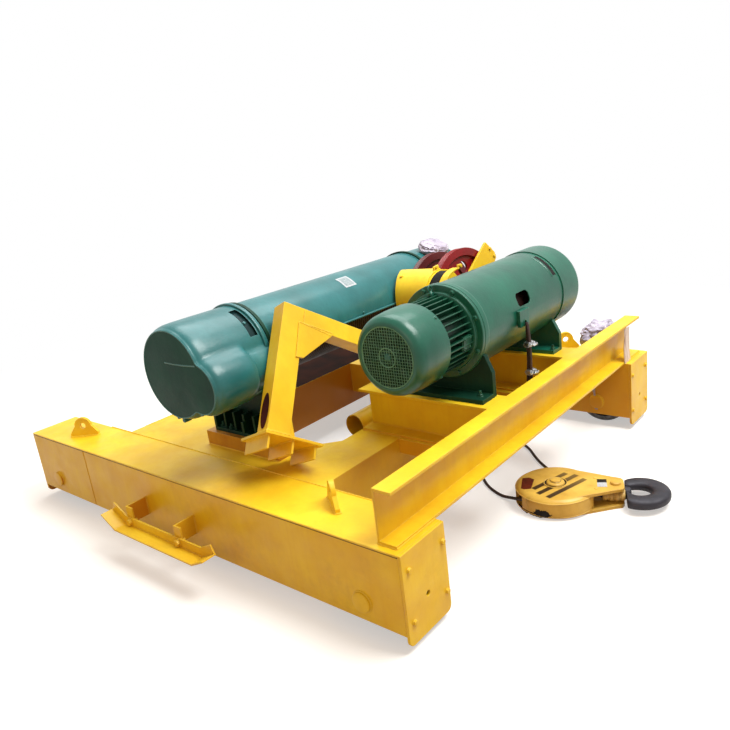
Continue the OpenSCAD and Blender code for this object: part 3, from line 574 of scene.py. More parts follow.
# black for printed marks and for dark sheets of painted shade in grooves, slots and openings
black = flat_finish("black_inside", (30, 26, 24), (16, 14, 13), 0.8)
maroon_label = flat_finish("blank_dark_label", (104, 36, 20), (70, 24, 14), 0.45)
white_label = flat_finish("blank_label", (190, 194, 200), (164, 170, 178), 0.4, 140)
grey_label = flat_finish("blank_label_middle", (156, 166, 170), (116, 130, 136), 0.45, 160)


# ---- Camera and light ----

def make_camera():
    data = bpy.data.cameras.new("camera")
    data.lens = 34.27
    data.sensor_width = 36.0
    data.clip_end = 100
    right = (0.766226, 0.630957, -0.121621)
    up = (-0.094813, 0.298216, 0.949778)
    back = (0.635538, -0.716213, 0.288324)
    turn = Matrix((right, up, back)).transposed().to_4x4()
    bpy.context.scene.camera = new_object("camera", data, moved(2.1996, -2.2181, 1.4033) @ turn)


def area_light(name, at, target, size, power, colour):
    data = bpy.data.lights.new(name, "AREA")
    data.shape = "RECTANGLE"
    data.size, data.size_y = size
    data.energy = power
    data.color = colour
    turn = (Vector(at) - Vector(target)).to_track_quat("Z", "Y").to_matrix().to_4x4()
    new_object(name, data, moved(*at) @ turn)


def make_world():
    world = bpy.data.worlds.new("world")
    bpy.context.scene.world = world
    n = Nodes(world)
    lit = n.make("Background", {"Color": (1.0, 0.74, 0.50, 1), "Strength": 0.48})[0]
    white = n.make("Background", {"Color": (1, 1, 1, 1)})[0]
    mix = n.make("MixShader", {0: n.seen_rays(), 1: lit, 2: white})[0]
    n.make("OutputWorld", {"Surface": mix})


def make_floor():
    """A pale floor that fades to the white backdrop away from the trolley and keeps its shadow."""
    mesh = bpy.data.meshes.new("floor")
    r = 40.0
    mesh.from_pydata([(-r, -r, 0), (r, -r, 0), (r, r, 0), (-r, r, 0)], [], [[0, 1, 2, 3]])
    n = Nodes(bpy.data.materials.new("floor"))
    diffuse = n.make("BsdfDiffuse", {"Color": (0.62, 0.61, 0.60, 1)})[0]
    near = n.make("AddShader", {0: diffuse, 1: n.make("Emission", {"Strength": 0.46})[0]})[0]
    where = n.make("TexCoord")["Object"]
    away = n.make("VectorMath", {0: where}, operation="LENGTH")["Value"]
    fade = n.make("MapRange", {"Value": away, "From Min": 1.6, "From Max": 4.0})[0]
    far = n.make("MixShader", {0: fade, 1: near, 2: n.make("Emission")[0]})[0]
    bounce = n.make("BsdfDiffuse", {"Color": (0.40, 0.29, 0.18, 1)})[0]
    pick = n.make("MixShader", {0: n.seen_rays(), 1: bounce, 2: far})[0]
    n.make("OutputMaterial", {"Surface": pick})
    mesh.materials.append(n.owner)
    new_object("floor", mesh)


# ---- The rope, its clips and its dead end ----

ROPE_D = 13.0
ROUTE = [(2071, 1058, 388), (2071, 1057, 310), (2070, 1056, 230), (2063, 1058, 150),
    (2048, 1074, 75), (2022, 1102, 5), (1986, 1130, -60), (1942, 1152, -118), (1894, 1164, -172),
    (1848, 1168, -222), (1808, 1160, -268), (1786, 1130, -304), (1794, 1092, -322),
    (1826, 1052, -323), (1868, 1010, -323), (1916, 976, -323), (1974, 948, -321), (2034, 928, -308),
    (2094, 912, -294), (2149, 898, -290), (2219, 902, -290), (2276, 944, -290), (2300, 1009, -290),
    (2285, 1078, -290), (2239, 1125, -290), (2172, 1163, -293), (2104, 1203, -307),
    (2040, 1244, -322), (1976, 1292, -323), (1920, 1346, -323), (1868, 1400, -323),
    (1812, 1430, -312), (1768, 1412, -270), (1746, 1354, -206), (1738, 1290, -136),
    (1734, 1226, -64), (1733, 1192, 30), (1733, 1186, 140), (1733, 1185, 270), (1733, 1185, 400),]
DEAD_END = [(2075, 1050, 388), (2082, 1046, 350), (2084, 1046, 300), (2084, 1047, 245),
    (2082, 1049, 186), (2080, 1050, 160)]


def smooth_route(points, steps):
    """Catmull-Rom curve through the points."""
    p = [Vector(q) for q in points]
    out = []
    for a, b, c, d in zip(p[:1] + p, p, p[1:], p[2:] + p[-1:]):
        for k in range(steps):
            t = k / steps
            out.append(0.5 * (2 * b + (c - a) * t + (2 * a - 5 * b + 4 * c - d) * t * t
                + (3 * b - a - 3 * c + d) * t ** 3))
    return out + [p[-1]]


def strands(route):
    """A rope's section: six round strands, laid in a spiral."""
    run = [0.0]
    for a, b in zip(route, route[1:]):
        run.append(run[-1] + (b - a).length)
    sides = 24

    def shape(i, k):
        return 0.84 + 0.16 * abs(cos(6 * pi * (k / sides - run[i] / (ROPE_D * 6.5))))
    return tube(route, ROPE_D / 2, sides, shape=shape)


def rope():
    route = smooth_route(ROUTE, 14)
    obj = piece("rope", Shape(Matrix(), strands(route)), rope_steel, smooth=80,
        replaces="block_rope")
    end = Shape(Matrix(), strands(smooth_route(DEAD_END, 8)))
    dead = piece("rope_dead_end", end, rope_steel, smooth=80)
    clips = Shape()
    leg, back = 13, 14  # the bow's half width, and the saddle's face
    for z, y in ((305, 1053), (192, 1054)):
        clip_at = moved(2074, y, z)
        clips.add(box((-9, -20, -11), (back, 18, 11), 3), clip_at)
        arc = [radians(a) for a in range(15, 180, 15)]
        bow = [(back + 9 * sin(a) + 9, leg * cos(a), 0) for a in arc]
        bow = [(-12, leg, 0), (back, leg, 0), *bow, (back, -leg, 0), (-12, -leg, 0)]
        clips.add(tube(bow, 4.5), clip_at)
        for side in (-leg, leg):
            clips.add(bolt(9), clip_at @ facing((back, side, 0), (1, 0, 0)))
            clips.add(tube([(back, side, 0), (32, side, 0)], 4.2), clip_at)
    clip = piece("rope_clips", clips, bright)


# ---- Hook block ----

HOOK_STATIONS = [  # angle round the bowl, mean radius, half width and height
    (168, 62, 10, 13), (176, 70, 28, 17), (188, 75, 35, 19), (208, 76, 37, 20), (228, 76, 38, 21),
    (255, 77, 38, 21), (290, 77, 39, 21), (325, 77, 39, 21), (360, 77, 39, 21), (395, 77, 38, 21),
    (425, 76, 37, 20), (450, 75, 35, 19), (474, 74, 31, 18), (490, 73, 25, 16), (498, 72, 16, 12),
    (502, 71, 6, 5)]


def hook():
    """A forged flat hook: one smooth loft from its shank round the bowl to its point."""
    bowl = Vector((311, 0, 0))
    neck = 260.5  # the bowl is cut flat there
    pairs = product(zip(HOOK_STATIONS, HOOK_STATIONS[1:]), range(5))
    dense = [[u + (v - u) * k / 5 for u, v in zip(p, q)] for (p, q), k in pairs]
    rings = []
    for angle, r, w, h in dense + HOOK_STATIONS[-1:]:
        out = Vector((cos(radians(angle)), sin(radians(angle)), 0))
        ring = []
        for k in range(20):
            c, s = (copysign(abs(v) ** 0.8, v) for v in (cos(k * pi / 10), sin(k * pi / 10)))
            p = bowl + out * (r + w * c * (0.9 + 0.1 * s * s)) + Vector((0, 0, h * s))
            p.x = max(p.x, neck)
            ring.append(p)
        rings.append(ring)
    forged = Shape(ON_BLOCK, loft(rings))
    for part in (lathe([(0, 146), (15, 146), (17, 149), (17, 270), (0, 270)], 32),
            lathe([(17, 253), (24, 253), (25, 259), (23, 276), (17, 280)], 32, 2),
            lathe([(12, 168), (21, 168), (22, 170), (22, 189), (21, 191), (12, 191)], 6)):
        forged.add(part, ALONG_X)
    piece("forged_hook", forged, hook_metal, body="hook_body", smooth=50, replaces="hook")


def ragged_patch(r, start, sweep, low, high, seed, steps=40):
    """A thin dark patch bent round a rim, with a broken outline that narrows to both ends."""
    verts, faces = [], []
    for i, (x, y) in enumerate(circle(1, 0, 0, steps, start, sweep)):
        t = i / steps
        taper = min(1.0, 5 * t + 0.15, 4 * (1 - t) + 0.1)
        z0 = low + (1 - taper) * 12 + 5 * noise.noise(Vector((i * 0.33, seed, 0)))
        z1 = low + (high - low) * taper + 7 * noise.noise(Vector((i * 0.41, seed, 5)))
        for radius in (r, r - 6):
            verts += [(radius * x, radius * y, z) for z in (z0, max(z1, z0 + 3))]
    for a in range(0, 4 * steps, 4):
        faces += [[a, a + 4, a + 5, a + 1], [a + 1, a + 5, a + 7, a + 3], [a, a + 2, a + 6, a + 4]]
    return verts, faces


def block_details():
    top = 40  # the casing's flat face
    s = Shape(ON_BLOCK, lathe([(0, top + 17), (15, top + 17), (19, top + 15), (20, top + 10),
        (30, top + 9), (34, top + 6), (36, top), (36, top - 2)], 40), hoop(44, top + 1, 2.6, 40))
    for x, y, r in ((224, 0, 19), (150, 44, 7), (150, -44, 7)):
        s.add(lathe([(0, top + r * 0.45), (r, top + r * 0.45), (r * 1.1, top - 1)], 24, 3),
            moved(x, y, 0))
    piece("block_bosses", s, golden)
    # a black ring of painted shade where the boss meets the face
    groove = lathe([(37, top - 0.5), (37, top + 0.7), (41.5, top + 0.7), (41.5, top - 0.5)], 40)
    piece("block_boss_groove_shade", Shape(ON_BLOCK, groove), black)
    rims = [tube([(x, y, z) for x, y in circle(154.5, 0, 0, 73, 34, 292)], 2.6, 6)
        for z in (27.5, -27.5)]
    piece("block_rim_welds", Shape(ON_BLOCK, *rims), golden)
    outline = [(-129, 36), (-104, 42), (-82, 26), (-87, -12), (-92, -52), (-118, -58), (-131, -50)]
    piece("block_label", Shape(ON_BLOCK).add(plate([outline], 1.0, 0.3), moved(0, 0, top)),
        maroon_label)
    s = Shape(ON_BLOCK, box((156, -30, top), (192, 6, top + 0.8), 0.3))
    s.add(box((156, 6, top), (192, 34, top + 0.8), 0.3), tint=1)
    piece("block_small_label", s, [white_label, black])
    # black patches of painted shade along the rim's lower side, at its opening
    patches = ragged_patch(156.9, 238, 27, -28, 0, 2.6), ragged_patch(155.6, 204, 60, -33, -18, 6.1)
    piece("block_rim_opening_shade", Shape(ON_BLOCK, *patches), black)
    s = Shape(ON_BLOCK)
    wide = Matrix.Diagonal((1, 1.72, 1, 1)) @ ALONG_X
    for x, r in ((183, 25), (206, 26.2), (228, 26.2), (248, 25)):
        s.add(lathe([(0, x - 9), (r - 2, x - 9), (r, x - 5), (r, x + 5), (r - 2, x + 9),
            (0, x + 9)], 40, 2, 2), wide)
    s.add(rod(23, 176, 253, 40), wide)
    s.add(rod(15.8, -39.8, 39.8), moved(222, 0, 0))
    piece("crosshead_barrel", s, cream, replaces="block_crosshead")


# ---- Frame ----

def end_plates():
    plates, bolts, holes = Shape(), Shape(), Shape()
    low, corner = -308, 24
    for x, out in ENDS:
        face = x if out < 0 else x + PLATE_T
        for y0, y1 in BEAMS:
            middle = (y0 + y1) / 2
            outline = ([(y0, 0), (y1, 0)] + circle(corner, y1 - corner, low + corner, 20, 0, -90)
                + circle(corner, y0 + corner, low + corner, 20, -90, -90))
            plates.add(plate([outline, circle(9, middle, PLATE_HOLE_Z)], PLATE_T, 1.2),
                moved(x, 0, 0) @ UPRIGHT)
            corners = product((31, 203) if y0 == 0 else (y1 - 31, y1 - 203), (-61, -234))
            bolts.bolts(10, [facing((face, y, z), (out, 0, 0), 15) for y, z in corners])
            shadow = 10.3 if out < 0 else 2189.3
            holes.add(rod(12, 0, 0.4, 20), facing((shadow, middle, PLATE_HOLE_Z), (out, 0, 0)))
    piece("end_plates_rounded", plates, yellow, replaces="end_plates")
    piece("end_plate_bolts", bolts, yellow)
    piece("end_hole_shadow", holes, black)


def wheels():
    """Double-flanged wheels on their axles, whose ends are painted with the frame."""
    s, caps = Shape(), Shape()
    half = [(30, -32), (52, -32), (54, -30), (54, -20), (88, -17), (98, -38), (101, -45),
        (120, -45), (125, -41), (125, -33), (114, -29), (112, -27)]
    profile = half + [(111, 0)] + [(r, -h) for r, h in half[::-1]]
    axle = 33.9
    for at in AXLES:
        m = moved(*at) @ ALONG_Y
        s.add(ring(profile, 72), m)
        s.add(rod(axle, -108, 108, 40), m)
        s.bolts(7, [m @ spot for spot in spots(6, 44, 31)])
        for top, turn in ((122, m @ OVER), (115.8, m)):
            cap = [(0, top), (30, top), (32, top - 0.7), (axle, top - 2.6), (axle, 100)]
            caps.add(lathe(cap, 48), turn)
            caps.add(hoop(axle + 1.6, 110.5, 2.4), turn)
    piece("rail_wheels", s, steel, replaces="wheels")
    piece("axle_ends", caps, yellow)


def welds():
    front, rear = 221, 1797  # the inner faces of the end beams
    s = Shape(Matrix(), weld([(x, front, 0.5) for x in (345, 1500, 2096)], 3.4))
    beads(s, 3.4, (505, 2096), rear, 0.5)
    beads(s, 2.6, 466, -0.2, (-8, -266))
    beads(s, 2.6, 1640, DEPTH + 0.2, (-8, -266))
    beads(s, 2.4, 502, (300, 1790), 0)
    for x, y, turn in LUGS:
        m = moved(x, y, 1) @ turned(turn)
        foot = [m @ Vector((u, v, 0)) for u, v in ((-66, -9), (66, -9), (66, 9), (-66, 9))]
        s.add(weld(foot, 4.2, True))
    for x, r in ((2102, 4.0), (2171, 3.4)):
        beads(s, r, x, [(26, 219), (1799, 1992)], 1)
    beads(s, 3.4, (2104, 2170), [25, 1993], 1)
    beads(s, 3.4, [904, 912, 1217, 1225], -1, (-196, -124))
    beads(s, 3.4, [499, 831, 1499, 1701], [front, rear], (-12, -218))
    beads(s, 3.0, [831, 1499], [493, 1380, 1640], (-12, -158))
    beads(s, 4.0, 1499.5, (694, 1116), 6)
    saddle_webs = [740, 748, 1356, 1364]
    beads(s, 3.0, (1512, 2101), saddle_webs, [11, 169])
    beads(s, 3.0, 2102, saddle_webs, (12, 168))
    beads(s, 3.4, (1511, 1698), [676, 812, 1292, 1428], 1)
    beads(s, 3.4, 1509, [(677, 811), (1293, 1427)], 1)
    beads(s, 3.4, (980, 1400), [297, 397, 1457, 1557], 1)
    piece("frame_welds", s, yellow)


def deck_details():
    """Painted shade on the deck under the main hoist, and the folded edges along the end beams'
    decks with a dark strip of painted shadow under them.
    """
    # a near-black patch of painted shade on the deck under the main hoist
    piece("oily_deck", Shape(Matrix(), box((507, 900, 0.1), (829, 1780, 0.7), 0)), shaded_deck)
    edge, shade = Shape(), Shape()
    for y, out in ((0, -1), (DEPTH, 1)):
        for shape, reach, low, high, bevel in ((edge, 2.6, -5, 0, 0.8), (shade, 0.7, -8.5, -5, 0)):
            a, b = sorted((y, y + reach * out))
            shape.add(box((10.5, a, low), (2189.5, b, high), bevel))
    piece("deck_edges", edge, yellow)
    # a dark strip of painted shadow under the deck plate's overhang
    piece("deck_edge_shade", shade, painted_shade_dark)


def striker_bolts():
    s = Shape()
    for x in (929, 1242):
        s.add(bolt(15), facing((x, -96, -182), (0, -1, 0), 10))
        s.add(stud(10, 10), facing((x, -84, -182), (0, 1, 0), 20))
    piece("striker_bolts", s, yellow)


def bracket_welds():
    foot = [(4, 2, 11), (94, 2, 11), (94, 75, 11), (4, 75, 11)]
    end = [(713, 3, 432), (713, 74, 432), (713, 74, 498), (713, 3, 498)]
    s = Shape(ON_BRACKET, weld(foot, 3.6, True), weld(end, 3.0, True))
    beads(s, 2.8, [16, 24, 113, 121, 206, 214], (14, 176), -1)
    beads(s, 2.6, (74, 221), -1, [(439, 440), (439, 428)])
    beads(s, 2.6, (74, 80), -1, (439, 302))
    beads(s, 3.0, 94, 1, (432, 498))
    beads(s, 2.8, 95, [33, 44], (20, 126))
    beads(s, 2.8, (98, 134), [33, 44], 11)
    piece("bracket_welds", s, yellow)
    # a dark oval of painted shade inside the post's hole
    oval = [(26 * x, 66 * y) for x, y in circle(1, sides=40)]
    s = Shape(ON_BRACKET).add(plate([oval], 0.8, 0), moved(3.3, 38.5, 86) @ UPRIGHT)
    piece("post_hole_shade", s, painted_shade_dark)


# ---- Main hoist ----

COVER_R = 181
COVER_STATIONS = [  # y, main radius, lobe radius, softness of their valley where it isn't 6
    (54, 160, 90), (54.5, 166, 94), (57, 168, 96), (61, 169, 97), (64, 169.5, 98), (68, 172, 101),
    (76, 176, 105, 7), (90, 179, 108, 7), (120, 180.5, 109, 7), (180, 181, 110, 7),
    (225, 181, 109, 7), (240, 181, 107, 7), (250, 181, 102), (255, 181, 94), (257, 181, 88),
    (262, 181, 86.5), (302, 181, 86), (308, 181, 86), (344, 181, 86), (354, 181.5, 86),
    (362, 182, 86), (376, 182, 86)]
COVER_SIDES = 120


def on_main(x, y, z):
    """A point given from the main hoist's axis."""
    return MAIN[0] + x, y, MAIN[1] + z


def cover_ring(y, r_main, r_lobe, blend=6):
    """The gear cover's outline at y: two circles with a soft valley between."""
    ring = []
    for dx, dz in circle(1, sides=COVER_SIDES):
        lo, hi = 20.0, 330.0
        for _ in range(26):
            mid = (lo + hi) / 2
            d1 = hypot(dx * mid, dz * mid) - r_main
            d2 = hypot(dx * mid - LOBE[0], dz * mid - LOBE[1]) - r_lobe
            h = max(0.0, min(1.0, 0.5 + 0.5 * (d2 - d1) / blend))
            inside = d2 * (1 - h) + d1 * h - blend * h * (1 - h) < 0
            lo, hi = (mid, hi) if inside else (lo, mid)
        mid = (lo + hi) / 2
        ring.append(on_main(dx * mid, y, dz * mid))
    return ring


def vent_pocket(low, high, first, last):
    """Walls and floor of the vent sunk into the gear cover, from y low to high."""
    verts, faces = [], []
    for y in (low, high):
        for x, z in circle(1, sides=COVER_SIDES)[first:last + 1]:
            verts += [on_main(x * r, y, z * r) for r in (COVER_R, 170)]
    n = last - first + 1
    for a in range(0, 2 * n - 2, 2):
        b = a + 2 * n
        faces += [[a, a + 1, a + 3, a + 2], [b, b + 2, b + 3, b + 1], [a + 1, b + 1, b + 3, a + 3]]
    return verts, faces + [[0, 2 * n, 2 * n + 1, 1], [2 * n - 2, 2 * n - 1, 4 * n - 1, 4 * n - 2]]


def gear_cover():
    """Cast cover over the main hoist's gears, with a second lobe and a sunk vent slot."""
    verts, faces = loft([cover_ring(*station) for station in COVER_STATIONS], caps=False)
    vent_low, vent_high, first, last = 308, 344, 9, 24  # 27 to 72 degrees up from +X
    row = [station[0] for station in COVER_STATIONS].index(vent_low)
    opening = range(row * COVER_SIDES + first, row * COVER_SIDES + last)
    faces = [face for i, face in enumerate(faces) if i not in opening]
    hub = len(verts)
    verts.append(on_main(20, 53.5, -10))
    faces += [[hub, (k + 1) % COVER_SIDES, k] for k in range(COVER_SIDES)]
    s = Shape(Matrix(), (verts, faces))
    # tint 2, the front face below y 56, takes the painted-shade teal
    s.tints = [2 if max(verts[v][1] for v in face) < 56 else 0 for face in faces]
    # the vent pocket, tint 1, takes a darker paint as painted shade
    s.add(vent_pocket(vent_low, vent_high, first, last), tint=1)
    crease = ((-28, 45), (20, 43), (80, 44), (149, 48))
    s.add(tube([on_main(x, 55.0, z) for x, z in crease], 2.6, 6))
    s.add(tube(cover_ring(54.6, 164, 92, 11), 2.2, 6, True))
    for x, z, r in ((0, -180, 9), (-34, -174, 6), (118, -138, 8)):
        lug = lathe([(0, 64), (r, 64), (r, 96), (0, 96)], 20, 3)
        s.add(lug, moved(*on_main(x, 0, z)) @ ALONG_Y)
    (x, z), = circle(1, 0, 0, 1, 48)
    s.add(bolt(7), moved(*on_main(0, 326, 0)) @ facing((170 * x, 0, 170 * z), (x, 0, z)))
    piece("gear_cover", s, [teal, vent_shade, shaded_teal_face], smooth=40, replaces="main_gear_cover")
    flange = [(180, 352), (189, 352), (190.5, 356), (190.5, 366), (189, 369), (180, 369)]
    s = Shape(ON_MAIN, lathe(flange, 96, 1.5, 2))
    s.bolts(8, [spot @ OVER for spot in spots(10, 186, 346, 12)[:5]])
    piece("gear_cover_flange", s, teal)


def main_drum():
    """Drum with its rope wound on in close turns."""
    y0, y1, pitch, r, rim, journal = 410, 1450, 13.6, 139.5, 162, 29.8
    low, high = y0 - 12, y1 + 12
    profile = [(0, low), (rim, low), (rim, y0 + 2), (r, y0 + 3)]
    for i in range(int((y1 - y0 - 30) / pitch)):
        for k in range(5):
            a = pi * k / 4
            profile.append((r + 6.3 * sin(a), y0 + 8 + pitch * (i + 0.5 - 0.49 * cos(a))))
    profile += [(r, y1 - 4), (rim, y1 - 4), (rim, high), (0, high)]
    s = Shape(ON_MAIN, lathe(profile, 60), rod(journal, 377, 1483))
    for near, far in zip(spots(6, 118, low), spots(6, 118, high)):
        s.bolts(7, (near @ OVER, far))
    for angle in (20, 32):
        s.add(box((146, -9, y0 + 14), (161, 9, y0 + 34), 2), turned(angle))
    piece("wound_drum", s, drum_red, body="main_drum_body", smooth=50, replaces="main_drum")


def main_details():
    s = Shape()
    for side in (-1, 1):
        s.add(tube([on_main(side * 182.5, y, 7) for y in (392, 1468)], 4.5))
        s.bolts(6, [facing(on_main(side * 178, y, 19), (side, 0, 0)) for y in (560, 930, 1300)])
    piece("casing_lips", s, teal)
    halves = [ring([(177, y), (180, y + 0.6), (180, y + 6.4), (177, y + 7)], 60, sweep=-180)
        for y in (391, 1462)]
    rounds = [ring([(r - 3, y), (r + 3, y), (r + 3, y + 12), (r - 3, y + 12)], 80, 1.5, 2)
        for y, r in ((1484, 176), (1740, 175))]
    piece("casing_bands", Shape(ON_MAIN, *halves, *rounds), teal)
    s = Shape(ON_MAIN)
    middle = -59  # of the label, round the casing
    for tint, (r, half, y0, y1) in enumerate(((178.2, 11, 905, 975), (178.9, 8.6, 914, 966))):
        s.add(lathe([(r, y0), (r + 0.9, y0 + 0.4), (r + 0.9, y1 - 0.4), (r, y1)], 10,
            start=middle - half, sweep=2 * half), tint=tint)
    piece("blank_label", s, [white_label, grey_label])
    s = Shape()
    foot_z = 74
    for y, x in product((340, 1520), (-150, -96, 150, 96)):
        s.add(stud(11, 12), moved(MAIN[0] + x, y, foot_z))
    for x, (y0, y1) in product(range(MAIN[0] - 120, MAIN[0] + 121, 60), ((330, 377), (1483, 1545))):
        s.add(box((x - 5, y0, foot_z), (x + 5, y1, 150), 1))
    piece("main_foot_ribs", s, shade_green)
    s = Shape(ON_MAIN, *[hoop(r, 1774.5, 3) for r in (40, 62, 84)])
    s.bolts(8, spots(8, 120, 1773.5, 10))
    piece("motor_cover_details", s, teal)


# ---- Small hoist ----

def fan_cover():
    mouth = 109.5
    shell = [(mouth, 438), (mouth, 432.4), (122, 433.2), (137.5, 446), (144.5, 466), (148.6, 520),
        (148.8, 597.5), (145.2, 597.5), (145.2, 520), (137, 466), (128, 452), (110, 440)]
    s = Shape(ON_SMALL, lathe(shell, 96, 9, 5))
    side = facing((148.4, 0, 586), (1, 0, 0))
    s.bolts(6, [turned(angle) @ side for angle in (45, 135, 225, 315)])
    piece("fan_cover", s, green, smooth=50, replaces="small_fan_cover")
    s = Shape(ON_SMALL, hoop(34, 435.6, 2.0, 64), hoop(107.5, 435.6, 2.0, 64))
    for k in range(-10, 11):
        c = k * 10.4
        half = sqrt(mouth ** 2 - c * c)
        s.add(tube([(c, -half, 436.4), (c, half, 436.4)], 1.05, 6))
        s.add(tube([(-half, c, 438.6), (half, c, 438.6)], 1.05, 6))
    s.add(lathe([(0, 434), (11, 434), (15, 437), (15, 441), (0, 441)], 32, 2), tint=1)
    piece("wire_grille", s, [wire_green, green], replaces="small_fan_grille")
    s = Shape(ON_SMALL, lathe([(0, 452), (26, 452), (30, 456), (30, 488), (0, 488)], 32),
        rod(128, 494, 498, 48))
    blade, tilt = box((26, -2, -14), (104, 2, 14), 1), moved(0, 0, 472) @ turned(24, "X")
    for angle in range(0, 360, 40):
        s.add(blade, turned(angle) @ tilt)
    piece("fan_blades", s, dark_green)


def motor_details():
    flange = 764
    s = Shape(ON_SMALL, ring([(150, flange), (176.5, flange), (176.5, 779.9), (150, 779.9)], 96, 3),
        ring([(112, 752), (150, 756), (152, 779.9), (112, 779.9)], 72, 4))
    s.bolts(9, [spot @ OVER for spot in spots(8, 162, flange, 22.5)])
    piece("motor_flange", s, green)
    eye = tube([(x, 0, z) for x, z in circle(11, 166, 742, 24)], 2.8, 8, True)
    s = Shape(ON_SMALL @ turned(-96), eye)
    stem = lathe([(0, 0), (10, 0), (10, 12), (6, 16), (0, 16)], 24, 2)
    s.add(stem, facing((140, 0, 742), (1, 0, 0)))
    piece("motor_eye", s, green)
    s = Shape(ON_SMALL @ turned(8), box((104, -26, 690), (140, 26, 748), 4))
    s.bolts(4, [facing((140, y, z), (1, 0, 0)) for y, z in product((-16, 16), (702, 736))])
    piece("motor_terminal_box", s, dark_green)


def small_details():
    collar = [(171, 779.5), (177.6, 779.5), (177.6, 801), (176.6, 808), (171, 812)]
    lips = ([(171, 1370), (174, 1374), (175, 1382), (172, 1385)],
        [(171, 1410), (174, 1411), (174.5, 1415), (171, 1419)])
    s = Shape(ON_SMALL, ring(collar, 96, 1), hoop(46, 1610.5, 3), hoop(90, 1610.5, 3),
        *[ring(lip, 24, start=-68, sweep=40) for lip in lips])
    s.bolts(7, spots(8, 150, 1609.8, 20))
    piece("small_hoist_bands", s, green)
    # a black strip of painted shade in the casing's slot
    slot = [(171.6, 1384), (172.8, 1385), (172.8, 1410), (171.6, 1411)]
    piece("casing_slot_shade", Shape(ON_SMALL, ring(slot, 24, start=-67, sweep=38)), black)
    s = Shape()
    for x, y in product((-160, 160), (742, 1338)):
        s.add(stud(11, 14), moved(SMALL[0] + x, y, 194))
    piece("small_foot_bolts", s, dark_green)
    eye = [(2064.5, y, z) for y, z in circle(11, 1058, 388, 24)]
    s = Shape(Matrix(), tube(eye, 2.2, 6, True))
    beads(s, 2.6, (2051, 2064), 1021, 437.5)
    beads(s, 3.0, 2049, (1020, 1096), 430)
    piece("anchor_details", s, green)


# ---- Sheaves ----

def sheave_rims():
    """Turned-up flange edges, and a black ring of painted shade in each upper sheave's groove."""
    groove = [(184, -7.2), (175.5, -0.6), (174.6, 0), (175.5, 0.6), (184, 7.2), (186, 6.6),
        (178, 0.4), (178, -0.4), (186, -6.6)]
    # the left sheave takes the red's painted-shade copy
    for side, name, finish in ((-80, "left", shaded_red), (80, "right", red)):
        place = ON_SHEAVES @ moved(side, 0, 0) @ ALONG_X
        body = name + "_sheave_body"
        s = Shape(place)
        for k in (-1, 1):
            s.add(hoop(198.4, 16.4 * k, 1.6, 96))
            s.add(ring([(58, 19 * k), (64, 18 * k), (64, 8 * k), (58, 8 * k)], 48))
        piece("sheave_edges_" + name, s, finish, body=body)
        # a black ring of painted shade in the groove
        piece("sheave_groove_shade_" + name, Shape(place, ring(groove, 96)), black, body=body)


def guard_place(x, angle):
    """A point on the guard's round outside, and the way it looks."""
    y, z = circle(1, 0, 0, 1, angle)[0]
    return (x, GUARD_R * y, GUARD_R * z), (0, y, z)


def sheave_details():
    s = Shape()
    for x, width, angle, length in ((206, 16, 98, 34), (306, 13, 78, 30)):
        at = ON_GUARD @ moved(*guard_place(x, angle)[0]) @ turned(angle - 90, "X")
        s.add(box((-4, -length / 2, -2), (4, length / 2, width), 1.5), at)
        s.add(bolt(8), at @ facing((4, 0, width * 0.55), (1, 0, 0)))
    s.add(bolt(9), ON_GUARD @ facing(*guard_place(32, 124)))
    for x, out in ((118.5, 1), (-118.5, -1)):
        s.add(lathe([(0, 13), (24, 13), (26, 11), (26, 0), (0, 0)], 32),
            ON_SHEAVES @ facing((x, 0, 0), (out, 0, 0)))
        s.add(box((0, -38, -9), (8, 38, 9), 1.5), ON_SHEAVES @ moved(x if out > 0 else x - 8, 0, 0))
    for (y, z), (x, out) in product(((168, 165), (190, 128)), ((118, 1), (106, -1))):
        s.add(bolt(8), ON_SHEAVES @ facing((x, y, z), (out, 0, 0)))
    piece("sheave_plate_bolts", s, yellow)
    # a black curved sheet of painted shade inside the guard's slot
    slot = ring([(106, 226), (109.5, 226), (109.5, 287), (106, 287)], 24, sweep=84)
    piece("guard_slot_shade", Shape(ON_GUARD @ ALONG_X @ turned(-172), slot), black)


# ---- Wrapping film ----

def crumpled(name, at, size, turn, seed, tent=0.0, replaces=None):
    """A lump wrapped in film: a round form pulled into soft folds, drawn up to a ridge."""
    bm = bmesh.new()
    bmesh.ops.create_icosphere(bm, subdivisions=5, radius=1)
    for v in bm.verts:
        p = v.co.normalized()
        q = Vector([copysign(abs(c) ** 0.72, c) for c in p])
        fold = 0.0
        for scale, depth in ((1.6, 0.12), (3.4, 0.07), (7.5, 0.035), (15, 0.012)):
            fold += depth * (1 - 2.4 * abs(noise.noise(p * scale + Vector((seed, scale, seed)))))
        q *= 0.84 + fold
        if q.z > 0:
            q.z *= 1 + tent * (0.4 - abs(q.y)) + 0.3 * tent * q.x
        v.co = Vector([c * reach for c, reach in zip(q, size)])
    piece(name, Shape(moved(*at) @ turn, taken(bm)), wrap, smooth=40, replaces=replaces)


def film_sheet(name, rows, finish):
    """A strip of film from rows of points, with its own thin back."""
    front, faces = loft([[Vector(v) for v in row] for row in rows], caps=False, wrap=False)
    back = [v + Vector((-0.8, 0.8, 0)) for v in front], [face[::-1] for face in faces]
    piece(name, Shape(Matrix(), (front, faces), back), finish, smooth=60)


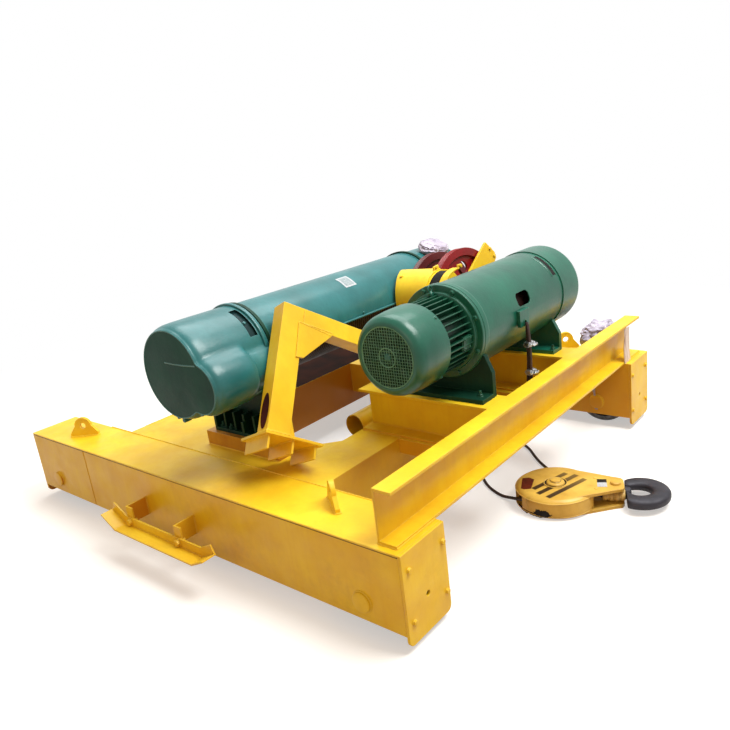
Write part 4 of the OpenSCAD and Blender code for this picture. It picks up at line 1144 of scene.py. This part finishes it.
def film_pieces():
    tilt = turned(25, "Y")
    top = moved(*on_main(0, 1634, 0)) @ tilt @ Vector((0, 0, 192))
    crumpled("wrapped_lump", top, (64, 84, 36), tilt, 3.1)
    crumpled("wrapped_roll", (2012, 1914, 80), (90, 84, 88), Matrix.Identity(4), 7.7, 0.35,
        "wrapped_bundles")
    film_sheet("film_strip", [[(2012 + 18 * t + 3 * sin(21 * t) + w * (7 + 3 * sin(16 * t)),
        1790 - 2 * abs(w) - 2 * sin(30 * t), -14 - 232 * t) for w in (-1, -0.3, 0.3, 1)]
        for t in [i / 23 for i in range(24)]], wrap)
    film_sheet("film_tape", [[(2173.5 + 2.2 * sin(2.6 * j + 3 * t) - 3 * sin(pi * t),
        1790 + 5 * j + 3 * sin(7 * t + 0.4 * j), 166 - 166 * t) for j in range(15)]
        for t in [i / 15 for i in range(16)]], tape_film)


# ---- Everything ----

CAD_FINISHES = {  # the CAD nodes whose shape is right
    yellow: "end_beams left_longitudinal_beam middle_longitudinal_beam cross_decks "
            "small_cross_members right_channel deck_corner_gussets lifting_lugs striker_bar "
            "striker_brackets edge_pipe small_saddles sheave_side_plates sheave_guard "
            "bracket_post_and_arm bracket_plates",
    # the packing bars take the yellow's painted-shade copy
    shaded_yellow: "main_packing_bars",
    teal: "main_casing main_motor_cover",
    green: "small_casing small_rear_foot small_gear_cover rope_anchor",
    dark_green: "small_motor_body",
    shade_green: "main_front_foot main_rear_foot small_front_foot",
    drum_red: "small_drum block_sheave",
    red: "upper_sheave_right",
    shaded_red: "upper_sheave_left",
    steel: "sheave_pin block_axle",
    golden: "block_casing",
}

make_camera()
rope()
hook()
make_world()
make_floor()
area_light("key", (3.0, 0.8, 5.2), (0, 0, 0.4), (2.6, 2.6), 360, (0.98, 1.0, 0.98))
area_light("sky", (-0.8, 1.6, 5.6), (0, 0, 0.4), (4.5, 3.6), 260, (0.94, 0.99, 1.0))
area_light("front", (1.0, -5.5, 2.6), (0, 0, 0.3), (3.5, 2.0), 40, (1.0, 0.80, 0.56))
for build in (block_details, end_plates, wheels, welds, deck_details, striker_bolts, bracket_welds,
        gear_cover, main_drum, main_details, fan_cover, motor_details, small_details, sheave_rims,
        sheave_details, film_pieces):
    build()
for finish, names in CAD_FINISHES.items():
    for name in names.split():
        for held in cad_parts[name].material_slots:
            held.material = finish

bpy.context.scene.view_settings.view_transform = "Standard"
